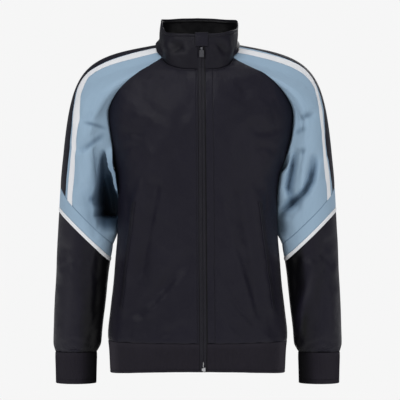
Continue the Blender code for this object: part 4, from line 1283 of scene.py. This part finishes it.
for word in ("left", "right"):
    count = CUFF_RIBS * 4
    angle = 2 * math.pi * np.arange(count) / count
    z = CUFF_TOP - CUFF_TALL * share[:, None] + 0 * angle
    half, deep = column(CUFF, -z, 1), column(CUFF, -z, 2)
    points = np.stack([CUFF_X + half * np.cos(angle), CUFF_Y - deep * np.sin(angle), z], -1)
    normals = np.stack([np.cos(angle) / half, -np.sin(angle) / deep, 0 * z], -1)
    normals /= np.linalg.norm(normals, axis=-1, keepdims=True)
    if word == "left":
        points, normals = points * MIRROR, normals * MIRROR
    waves = RIB_HIGH * np.cos(CUFF_RIBS * angle) * np.clip(share * 12, 0, 1)[:, None]
    place = 0.5 - 0.5 * np.cos(angle) + 0 * waves
    light = column(CUFF_LIGHT, place, 1) * (0.75 + 0.25 * np.clip(3 * np.sin(angle), -1, 1))
    sunk = sewn(points, ("top",), pucker=0) - waves
    panel(
        f"cuff_{word}", points, normals, RIB_WALL, rib_cloth, "rib_knit", sunk, folds=("low",), closed=True,
        shade=(light + seam_shade(points, ("top",), 0.9, 2.0) * (1 - light), 0.6),
    )

# %% [markdown]
# ## Stand collar
# The collar grows out of the neckline and stands a little outwards; its front is low at the zip and its back
# is high. It was worn, so it has a few soft dents where it bends at the sides.

# %% Collar
# degrees round the neck from the front, height of the top edge
COLLAR_TOP = {
    "left": [
        (0, 17), (35, 19.5), (51, 22), (60, 26), (70, 37), (80, 49),
        (92, 56), (106, 59), (125, 61.5), (150, 65), (180, 66),
    ],
    "right": [
        (0, 17), (35, 20), (51, 26), (66, 31), (78, 36), (88, 45),
        (98, 53), (110, 58), (135, 62), (155, 65), (180, 66),
    ],
}
COLLAR_SHIFT = 4.5
COLLAR_WALL = 2.0
COLLAR_STITCH = 6.5
NECK_MIDDLE = -5
COLLAR_CREASES = [
    ([(-60, 8), (-36, -22)], 9, -3.4),
    ([(36, 12), (62, -26)], 9, -3.6),
    ([(66, 20), (40, 2)], 9, 1.8),
    ([(-50, 4), (-38, -8), (-26, -26)], 6, -2.2),
    ([(-24, 6), (-34, -4), (-58, -24)], 6, -2.0),
    ([(44, -2), (56, -18), (66, -26)], 6, -2.4),
    ([(30, -6), (40, -24), (38, -40)], 6, -1.6),
    ([(-68, 14), (-60, -20)], 7, 2.0),
    ([(72, 18), (66, -16)], 6, 1.6),
    ([(-14, -8), (-20, -34)], 7, 1.2),
]


def collar_top(x, y):
    """The point of the top edge over a point of the neckline."""
    angle = np.arctan2(x, -(y - NECK_MIDDLE))
    across, forward = np.sin(angle), np.cos(angle)
    deep = np.where(forward > 0, 75, 64)
    square = np.where(forward > 0, 2.35, 2.9)
    reach = ((np.abs(across) / 81) ** square + (np.abs(forward) / deep) ** square) ** (-1 / square)
    turned = np.degrees(np.abs(angle))
    right, left = (column(COLLAR_TOP[word], turned, 1) for word in ("right", "left"))
    sideways = reach * across + COLLAR_SHIFT * across**2
    return np.stack([sideways, NECK_MIDDLE - reach * forward, np.where(x > 0, right, left)], -1)


def evenly_spaced(points, shares):
    """Points at shares of the way along a line of points."""
    run = length_along(points)
    return np.stack([np.interp(shares * run[-1], run, points[:, k]) for k in range(3)], 1)


neck = np.concatenate(
    [
        grids["front_right"][0][0],
        neck_line[::-1],
        grids["back"][0][0][::-1],
        neck_line * MIRROR,
        grids["front_left"][0][0][::-1],
    ]
)
neck = evenly_spaced(neck, cuts(520, 2.6))
top = collar_top(neck[:, 0], neck[:, 1])
away = (top + neck) / 2 - np.array([COLLAR_SHIFT, NECK_MIDDLE, 0])
away[:, 2] = 0
away /= np.linalg.norm(away, axis=1, keepdims=True)
near_top = np.array([9, 8, 7.2, 6.5, 5.8, 5.0, 4, 3, 2, 1.3, 0.8, 0.4, 0.15, 0])
rise = np.concatenate([CLOSE / 65, np.linspace(0.08, 0.83, 30), 1 - near_top / 65])
collar_points, dents = [], []
for h in rise:
    row = neck + h * (top - neck) + away * 2.5 * math.sin(math.pi * h)
    # the seam allowance spreads a little over the shoulder
    turned = np.degrees(np.abs(np.arctan2(neck[:, 0], -(neck[:, 1] - NECK_MIDDLE))))
    flare = step(turned, 58, 76) * step(turned, 128, 108) * (1 - step(np.array(h), 0.0, 0.26))
    row = row + away * (9.0 * flare)[:, None]
    row[:, 2] += 0.9 * flare
    swell = math.sin(math.pi * h)
    dent = creases(row[:, 0], row[:, 2], COLLAR_CREASES, 0.3) * step(row[:, 1], -5, -25) * swell
    slack = drift(row[:, 0] + 0.6 * row[:, 1], row[:, 2], 21, 0.7, 16, 40) * swell
    dents.append(np.clip(-dent / 3.5, 0, 1))
    collar_points.append(row + away * (dent + slack)[:, None])
collar_points = np.stack(collar_points)
collar_normals = np.cross(np.gradient(collar_points, axis=0), np.gradient(collar_points, axis=1))
collar_normals /= np.linalg.norm(collar_normals, axis=-1, keepdims=True)
if (collar_normals * away).sum() < 0:
    collar_normals = -collar_normals
sunk = sewn(collar_points, ("top", "left", "right"), pucker=0.25)
# a line of stitches near the top edge holds it flat, and the cloth swells a little on both sides of it
from_top = run_of(collar_points, 0)
from_top = from_top[-1:] - from_top
sunk = sunk + 0.8 * bell(from_top, COLLAR_STITCH, 1.3) - 0.6 * bell(from_top, 3.0, 2.2)
# painted shade on the inner face of the collar, fading out towards its top edge
inside = 0.92 * np.clip(from_top / 5.0, 0, 1)
# painted shade on the outer face: the stitch groove, an overall darkening that is stronger on the left, and
# more in the dents
line = 0.7 * bell(from_top, COLLAR_STITCH, 1.1)
line = np.maximum(line, np.where(collar_points[..., 0] < 0, 0.36, 0.28) + 0.16 * np.stack(dents))
panel(
    "collar", collar_points, collar_normals, COLLAR_WALL, navy_cloth, "navy_knit", sunk,
    folds=("low",), shade=(line, inside),
)

# %% [markdown]
# ## Zip
# A coil zip: two woven tapes lie behind the front edges, and the coils of both meet in the middle in a ridge
# of small loops. The tapes are flat strips between the two front edges, set back by a little more than the
# cloth is thick.

# %% Zip tapes
left_edge = np.concatenate(
    [hem_points[:0:-1, -1], grids["front_left"][0][::-1, 0], collar_points[1:, -1]]
)
right_edge = np.concatenate(
    [hem_points[:0:-1, 0], grids["front_right"][0][::-1, 0], collar_points[1:, 0]]
)
left_edge[-1, 2] -= 3
right_edge[-1, 2] -= 3
ZIP_TOP = 14.0
zip_levels = np.arange(left_edge[0, 2], ZIP_TOP, 3.0)


def at_levels(edge, levels):
    return np.stack([np.interp(levels, edge[:, 2], edge[:, k]) for k in range(3)], 1)


BACKWARDS = np.array([0.0, 1.0, 0.0])


def zip_strip(shares, back, levels=zip_levels):
    """Rows of points between the two zip edges, at shares of the way across."""
    a, b = at_levels(left_edge, levels)[:, None], at_levels(right_edge, levels)[:, None]
    return a + (b - a) * np.array(shares)[:, None] + BACKWARDS * back


SET_BACK = 0.6
for word, shares in (("left", np.linspace(-0.25, 0.485, 22)), ("right", np.linspace(0.515, 1.25, 22))):
    grid = zip_strip(shares, SET_BACK)
    outside = np.clip(np.abs(shares - 0.5) - 0.5, 0, 1)
    grid[..., 1] += (outside > 0) * 1.3
    normals = np.broadcast_to(-BACKWARDS, grid.shape)
    # painted shadow on each tape under the edge of its front, and painted shade in the middle where the tapes
    # meet
    dark = step(shares, 0.84, 0.93) if word == "right" else 0.7 * step(shares, 0.07, 0.0)
    dark = np.maximum(dark, 0.8 * step(np.abs(shares - 0.5), 0.06, 0.0))
    panel(f"zip_tape_{word}", grid, normals, 0.7, tape_cloth, "zip_tape", shade=(dark + 0 * grid[..., 0], 0.5))
print("zip from", zip_levels[0], "to", zip_levels[-1])


# %% [markdown]
# ## Copies along a path
# Zip loops and stitches are the same thing again and again along a line. A small node tree turns a line
# into a curve, cuts it evenly, and sets a copy on each cut, with X along the line and Z away from the
# cloth. The result is made real at once, because only plain meshes are handed on.


# %% A node tree that sets out copies along a path
def along_path(name, paths, unit, spacing, cloth, scale=1.0, turn=0.0):
    """Copies of a small mesh, evenly spaced along paths of (points, normals) in millimetres."""
    tree = bpy.data.node_groups.new(name + "_nodes", "GeometryNodeTree")
    for word, kind, way in (
        ("Path", "NodeSocketGeometry", "INPUT"),
        ("Spacing", "NodeSocketFloat", "INPUT"),
        ("Size", "NodeSocketFloat", "INPUT"),
        ("Copies", "NodeSocketGeometry", "OUTPUT"),
    ):
        tree.interface.new_socket(word, in_out=way, socket_type=kind)
    new = tree.nodes.new
    start, end = new("NodeGroupInput"), new("NodeGroupOutput")
    curve, resample = new("GeometryNodeMeshToCurve"), new("GeometryNodeResampleCurve")
    resample.mode = "LENGTH"
    tangent, facing = new("GeometryNodeInputTangent"), new("GeometryNodeInputNamedAttribute")
    facing.data_type = "FLOAT_VECTOR"
    facing.inputs["Name"].default_value = "facing"
    first, second = new("FunctionNodeAlignRotationToVector"), new("FunctionNodeAlignRotationToVector")
    first.axis, second.axis, second.pivot_axis = "X", "Z", "X"
    one = new("GeometryNodeObjectInfo")
    one.inputs["Object"].default_value = unit
    place, realize = new("GeometryNodeInstanceOnPoints"), new("GeometryNodeRealizeInstances")
    paint = new("GeometryNodeSetMaterial")
    paint.inputs["Material"].default_value = cloth
    join = tree.links.new
    join(start.outputs["Path"], curve.inputs["Mesh"])
    join(curve.outputs["Curve"], resample.inputs["Curve"])
    join(start.outputs["Spacing"], resample.inputs["Length"])
    join(tangent.outputs[0], first.inputs["Vector"])
    join(first.outputs[0], second.inputs["Rotation"])
    join(facing.outputs["Attribute"], second.inputs["Vector"])
    join(second.outputs[0], place.inputs["Rotation"])
    join(resample.outputs[0], place.inputs["Points"])
    join(one.outputs["Geometry"], place.inputs["Instance"])
    join(start.outputs["Size"], place.inputs["Scale"])
    join(place.outputs[0], realize.inputs[0])
    join(realize.outputs[0], paint.inputs["Geometry"])
    join(paint.outputs[0], end.inputs["Copies"])

    points, edges, facings = [], [], []
    for path, normals in paths:
        first_number = len(points)
        points += (np.asarray(path) * MM).tolist()
        facings += np.asarray(normals).tolist()
        edges += [(first_number + k, first_number + k + 1) for k in range(len(path) - 1)]
    mesh = bpy.data.meshes.new(name + "_path")
    mesh.from_pydata(points, edges, [])
    layer = mesh.attributes.new("facing", "FLOAT_VECTOR", "POINT")
    layer.data.foreach_set("vector", np.array(facings, np.float32).ravel())
    carrier = bpy.data.objects.new(name + "_path", mesh)
    bpy.context.collection.objects.link(carrier)
    step = carrier.modifiers.new("copies", "NODES")
    step.node_group = tree
    for socket in tree.interface.items_tree:
        if socket.name == "Spacing":
            step[socket.identifier] = spacing * MM
        if socket.name == "Size":
            step[socket.identifier] = scale
    bpy.context.view_layer.update()
    ready = carrier.evaluated_get(bpy.context.evaluated_depsgraph_get())
    result = bpy.data.meshes.new_from_object(ready)
    carrier.modifiers.remove(step)
    bpy.data.objects.remove(carrier, do_unlink=True)
    result.name = name
    piece = bpy.data.objects.new(name, result)
    bpy.context.collection.objects.link(piece)
    if not result.uv_layers:
        result.uv_layers.new(name="metres")
    print(name, "copies on", len(paths), "paths:", len(result.polygons), "faces")
    return piece


def capsule(name, length, radius, lift, sides=5, rings=4):
    """A short rounded rod along X, lifted along Z, in millimetres."""
    ends = np.linspace(-math.pi / 2, math.pi / 2, rings)
    x = np.sin(ends) * length / 2
    wide = np.maximum(np.cos(ends), 0.25) * radius
    angle = 2 * math.pi * np.arange(sides) / sides
    points = [
        (a, w * math.cos(b), lift + w * math.sin(b)) for a, w in zip(x, wide) for b in angle
    ]
    number = np.arange(rings * sides).reshape(rings, sides)
    quads = []
    for i in range(rings - 1):
        for j in range(sides):
            k = (j + 1) % sides
            quads.append((number[i, j], number[i, k], number[i + 1, k], number[i + 1, j]))
    faces = quads + [tuple(number[0]), tuple(number[-1][::-1])]
    mesh = bpy.data.meshes.new(name)
    faces = [tuple(int(v) for v in face[::-1]) for face in faces]
    mesh.from_pydata((np.array(points) * MM).tolist(), [], faces)
    mesh.polygons.foreach_set("use_smooth", np.ones(len(faces), bool))
    mesh.uv_layers.new(name="metres")
    thing = bpy.data.objects.new(name, mesh)
    bpy.context.collection.objects.link(thing)
    return thing


stitch = capsule("one_stitch", 2.3, 0.32, 0.12)
tooth = capsule("one_loop", 1.0, 0.55, 0.0)
print("units ready")


# %% [markdown]
# ## Coils and metal parts
# The coils of both tapes are two rows of small loops beside the middle line. The slider, its pull tab and the
# bottom stop already have their shape in the plain model, so they only get metal.


# %% Coil teeth, slider, pull tab and bottom stop
chain_levels = np.arange(-670.0, -27.0, 2.0)
coils = []
for share in (0.30, 0.70):
    row = zip_strip([share], SET_BACK - 0.3, chain_levels)[:, 0]
    coils.append((row, np.broadcast_to(-BACKWARDS, row.shape)))
chain = along_path("zip_coils", coils, tooth, 1.5, zip_plastic, 0.8)
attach(chain, "jacket")
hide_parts("zip_chain")

finishes = {"zip_slider": dark_metal, "zip_pull_tab": zip_metal, "zip_bottom_stop": bright_metal}
for node, finish in finishes.items():
    thing = bpy.data.objects[node]
    for place in thing.material_slots:
        place.material = finish
print("zip metal on the solids")

# %% [markdown]
# ## Chin guard and pockets
# A small tab of the same cloth covers the top end of the zip, so it doesn't rub the chin. The pockets are
# slits along a slant, each with a narrow welt, a line of stitches on both sides and a bartack at its ends.

# %% Chin guard and pocket welts
GUARD_MIDDLE = 8.37
GUARD_STITCH = 1.8
GUARD_HALF, GUARD_LOW, GUARD_HIGH = 14.0, -9.5, 20.5
ordered = np.concatenate([collar_points[:, -30:], collar_points[:, :30]], axis=1)
guard_x = GUARD_MIDDLE + GUARD_HALF * (2 * cuts(28, 1.5) - 1)
guard_z = GUARD_HIGH + (GUARD_LOW - GUARD_HIGH) * cuts(30, 1.5)
lines = ordered.transpose(1, 0, 2)
guard = []
for z in guard_z:
    cross = np.array([[np.interp(min(z, ZIP_TOP), one[:, 2], one[:, k]) for k in (0, 1)] for one in lines])
    y = np.interp(guard_x, cross[:, 0], cross[:, 1]) - 1.7
    guard.append(np.stack([guard_x, y, z + 0 * y], 1))
guard = np.stack(guard)
# the lower corners are cut round
low = np.clip((GUARD_LOW + 6 - guard[..., 2]) / 6, 0, 1)
guard[..., 0] = GUARD_MIDDLE + (guard[..., 0] - GUARD_MIDDLE) * (1 - 0.1 * low**2)
normals = np.broadcast_to(-BACKWARDS, guard.shape)
guard_bulge = -0.3 * np.sin(np.linspace(0, math.pi, guard.shape[0]))[:, None] + np.zeros(guard.shape[:2])
# painted shade along the guard's edges and faintly over all of it
panel(
    "chin_guard", guard, normals, 1.4, navy_cloth, "navy_knit", guard_bulge, folds=EDGES,
    shade=(np.maximum(0.1, seam_shade(guard, EDGES, 0.8, 1.6)), 0.5),
)

# height, distance from the middle
WELT = [(-552, 158), (-440, 143), (-330, 128)]
WELT_HALF = 4.5
for side, word in ((-1, "left"), (1, "right")):
    z = np.linspace(-330, -552, 90)[:, None] + np.zeros(19)
    across = np.linspace(-WELT_HALF, WELT_HALF, 19)
    x = side * (column(WELT, z, 1) + across)
    theta = theta_at(x, z)
    points = torso(theta, z)
    normals = torso_normals(theta, z)
    slit = bell(across, -side * 0.6, 0.9) + 0 * z
    line = bell(across, side * 2.6, 0.7) + 0 * z
    # painted shade in the slit of the pocket and along its stitch line
    panel(
        f"pocket_welt_{word}", points, normals, 1.0, navy_cloth, "navy_knit", 0.7 * slit + 0.4 * line - 0.3,
        folds=EDGES, lift=0.9, shade=(np.maximum(0.95 * slit, 0.5 * line), 0.5),
    )
print("pockets at", WELT)

# %% [markdown]
# ## Stitches
# Machine stitches hold the facing, the collar, the hem, the pockets and the white tapes. Each line runs at a
# fixed distance from an edge of its panel, so we walk along the panel's own grid and let the small node tree
# lay one stitch after another.


# %% Lines beside an edge
def beside(name, edge, off, sunk=0.0, trim=0):
    """A path on a panel at a distance from one of its edges, with the cloth's directions."""
    points, normals = grids[name]
    if edge in ("left", "right"):
        points, normals = points.transpose(1, 0, 2), normals.transpose(1, 0, 2)
    if edge in ("low", "right"):
        points, normals = points[::-1], normals[::-1]
    run = run_of(points, 0)
    path = np.array(
        [[np.interp(off, run[:, k], points[:, k, j]) for j in range(3)] for k in range(points.shape[1])]
    )
    row = int(np.argmin(np.abs(run.mean(1) - off)))
    path = path - normals[row] * sunk
    stop = len(path) - trim
    return path[trim:stop], normals[row][trim:stop]


# %% [markdown]
# ## Two threads
# The navy thread nearly disappears in the navy cloth and shows as a line of small dents, while the white
# tapes are held by white thread. Each colour is one piece, because its stitches never move apart.


# %% Stitches in navy and in white thread
navy_lines = []
for word in ("left", "right"):
    navy_lines.append(beside(f"front_{word}", "left", FACING_LINE[word], 0.45, 2))
    navy_lines.append(beside(f"front_{word}", "top", NECK_STITCH, 0.45, 2))
    for edge in ("left", "right"):
        navy_lines.append(beside(f"pocket_welt_{word}", edge, 1.2, -1.3, 1))
    for edge in ("top", "low"):
        navy_lines.append(beside(f"pocket_welt_{word}", edge, 1.5, -1.3, 1))
navy_lines.append(beside("back", "top", NECK_STITCH, 0.0, 2))
navy_lines.append(beside("collar", "low", COLLAR_STITCH, 0.3, 2))
navy_lines.append(beside("hem_band", "low", HEM_STITCH, 0.2, 2))
for edge in ("left", "right", "low"):
    navy_lines.append(beside("chin_guard", edge, GUARD_STITCH, -0.3, 2))
navy_stitches = along_path("stitches_navy", navy_lines, stitch, 3.2, thread)
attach(navy_stitches, "jacket")
white_lines = [
    beside(f"tape_{face}_{word}", edge, 1.3, -TAPE_WALL - 0.15)
    for face in ("front", "back") for word in ("left", "right") for edge in ("left", "right")
]
white_stitches = along_path("stitches_white", white_lines, stitch, 3.6, white_thread, 0.8)
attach(white_stitches, "jacket")
print("lines of stitches:", len(navy_lines) + len(white_lines))

# %% [markdown]
# ## Camera, floor and light
# The camera stands 3.3 metres away, level with the middle of the jacket. Large soft lights on both sides,
# above and behind give the even light of a product table. The room's white is for the camera only.

# %% Camera and light
AWAY, HALF_VIEW = 3.3, 0.424  # metres to the camera, and half of what it sees there
camera_data = bpy.data.cameras.new("camera")
camera_data.angle = 2 * math.atan(HALF_VIEW / AWAY)
camera = bpy.data.objects.new("camera", camera_data)
camera.location = (0.0051, -AWAY, -0.3265)
camera.rotation_euler = (math.pi / 2, 0, 0)
bpy.context.collection.objects.link(camera)
bpy.context.scene.camera = camera

PALE = 0.9216
floor_mesh = bpy.data.meshes.new("floor")
FLOOR, WIDE = -0.86, 9
corners = [(-WIDE, -WIDE, FLOOR), (WIDE, -WIDE, FLOOR), (WIDE, WIDE, FLOOR), (-WIDE, WIDE, FLOOR)]
floor_mesh.from_pydata(corners, [], [(0, 1, 2, 3)])
floor = bpy.data.objects.new("floor", floor_mesh)
bpy.context.collection.objects.link(floor)
paper = bpy.data.materials.new("pale_paper")
paper.use_nodes = True
paper_shader = paper.node_tree.nodes["Principled BSDF"]
paper_shader.inputs["Base Color"].default_value = (0.0, 0.0, 0.0, 1)
paper_shader.inputs["Specular IOR Level"].default_value = 0.0
paper_shader.inputs["Emission Color"].default_value = (1.0, 1.0, 1.0, 1)
paper_shader.inputs["Emission Strength"].default_value = PALE
floor_mesh.materials.append(paper)

world = bpy.data.worlds.new("studio")
world.use_nodes = True
sky, join = world.node_tree.nodes, world.node_tree.links.new
room, wall = sky["Background"], sky.new("ShaderNodeBackground")
ray, pick = sky.new("ShaderNodeLightPath"), sky.new("ShaderNodeMixShader")
room.inputs["Strength"].default_value = 0.23
wall.inputs["Color"].default_value = (1.0, 1.0, 1.0, 1)
room.inputs["Color"].default_value = (0.96, 0.98, 1.0, 1)
wall.inputs["Strength"].default_value = PALE
join(ray.outputs["Is Camera Ray"], pick.inputs["Fac"])
join(room.outputs[0], pick.inputs[1])
join(wall.outputs[0], pick.inputs[2])
join(pick.outputs[0], sky["World Output"].inputs["Surface"])
bpy.context.scene.world = world
bpy.context.scene.view_settings.view_transform = "Standard"

LIGHTS = [
    # name, place, aim, side in metres, watts
    ("key", (-1.7, -2.3, 1.5), (0, 0, -0.3), 0.8, 31),
    ("fill", (1.9, -2.4, 0.4), (0, 0, -0.35), 1.2, 12.5),
    ("top", (0.1, -0.9, 1.9), (0, 0, -0.2), 1.0, 14),
    ("rim", (1.0, 2.2, 1.2), (0, 0, -0.2), 1.4, 20),
]
for name, place, aim, side, watts in LIGHTS:
    lamp = bpy.data.lights.new(name, "AREA")
    lamp.shape, lamp.size, lamp.energy = "SQUARE", side, watts
    thing = bpy.data.objects.new(name, lamp)
    thing.location = place
    thing.visible_camera = False
    way = np.array(aim) - np.array(place)
    flat = math.hypot(way[0], way[1])
    lift, turn = math.atan2(way[2], flat), math.atan2(way[1], way[0])
    thing.rotation_euler = (math.pi / 2 + lift, 0, turn - math.pi / 2)
    bpy.context.collection.objects.link(thing)
print("camera angle:", round(math.degrees(camera_data.angle), 2))

# %% [markdown]
# ## The end
# The single stitch and the single loop were only patterns, so they go.

# %% Units go, and the model is finished
for unit in (stitch, tooth):
    bpy.data.objects.remove(unit, do_unlink=True)
bpy.context.view_layer.update()
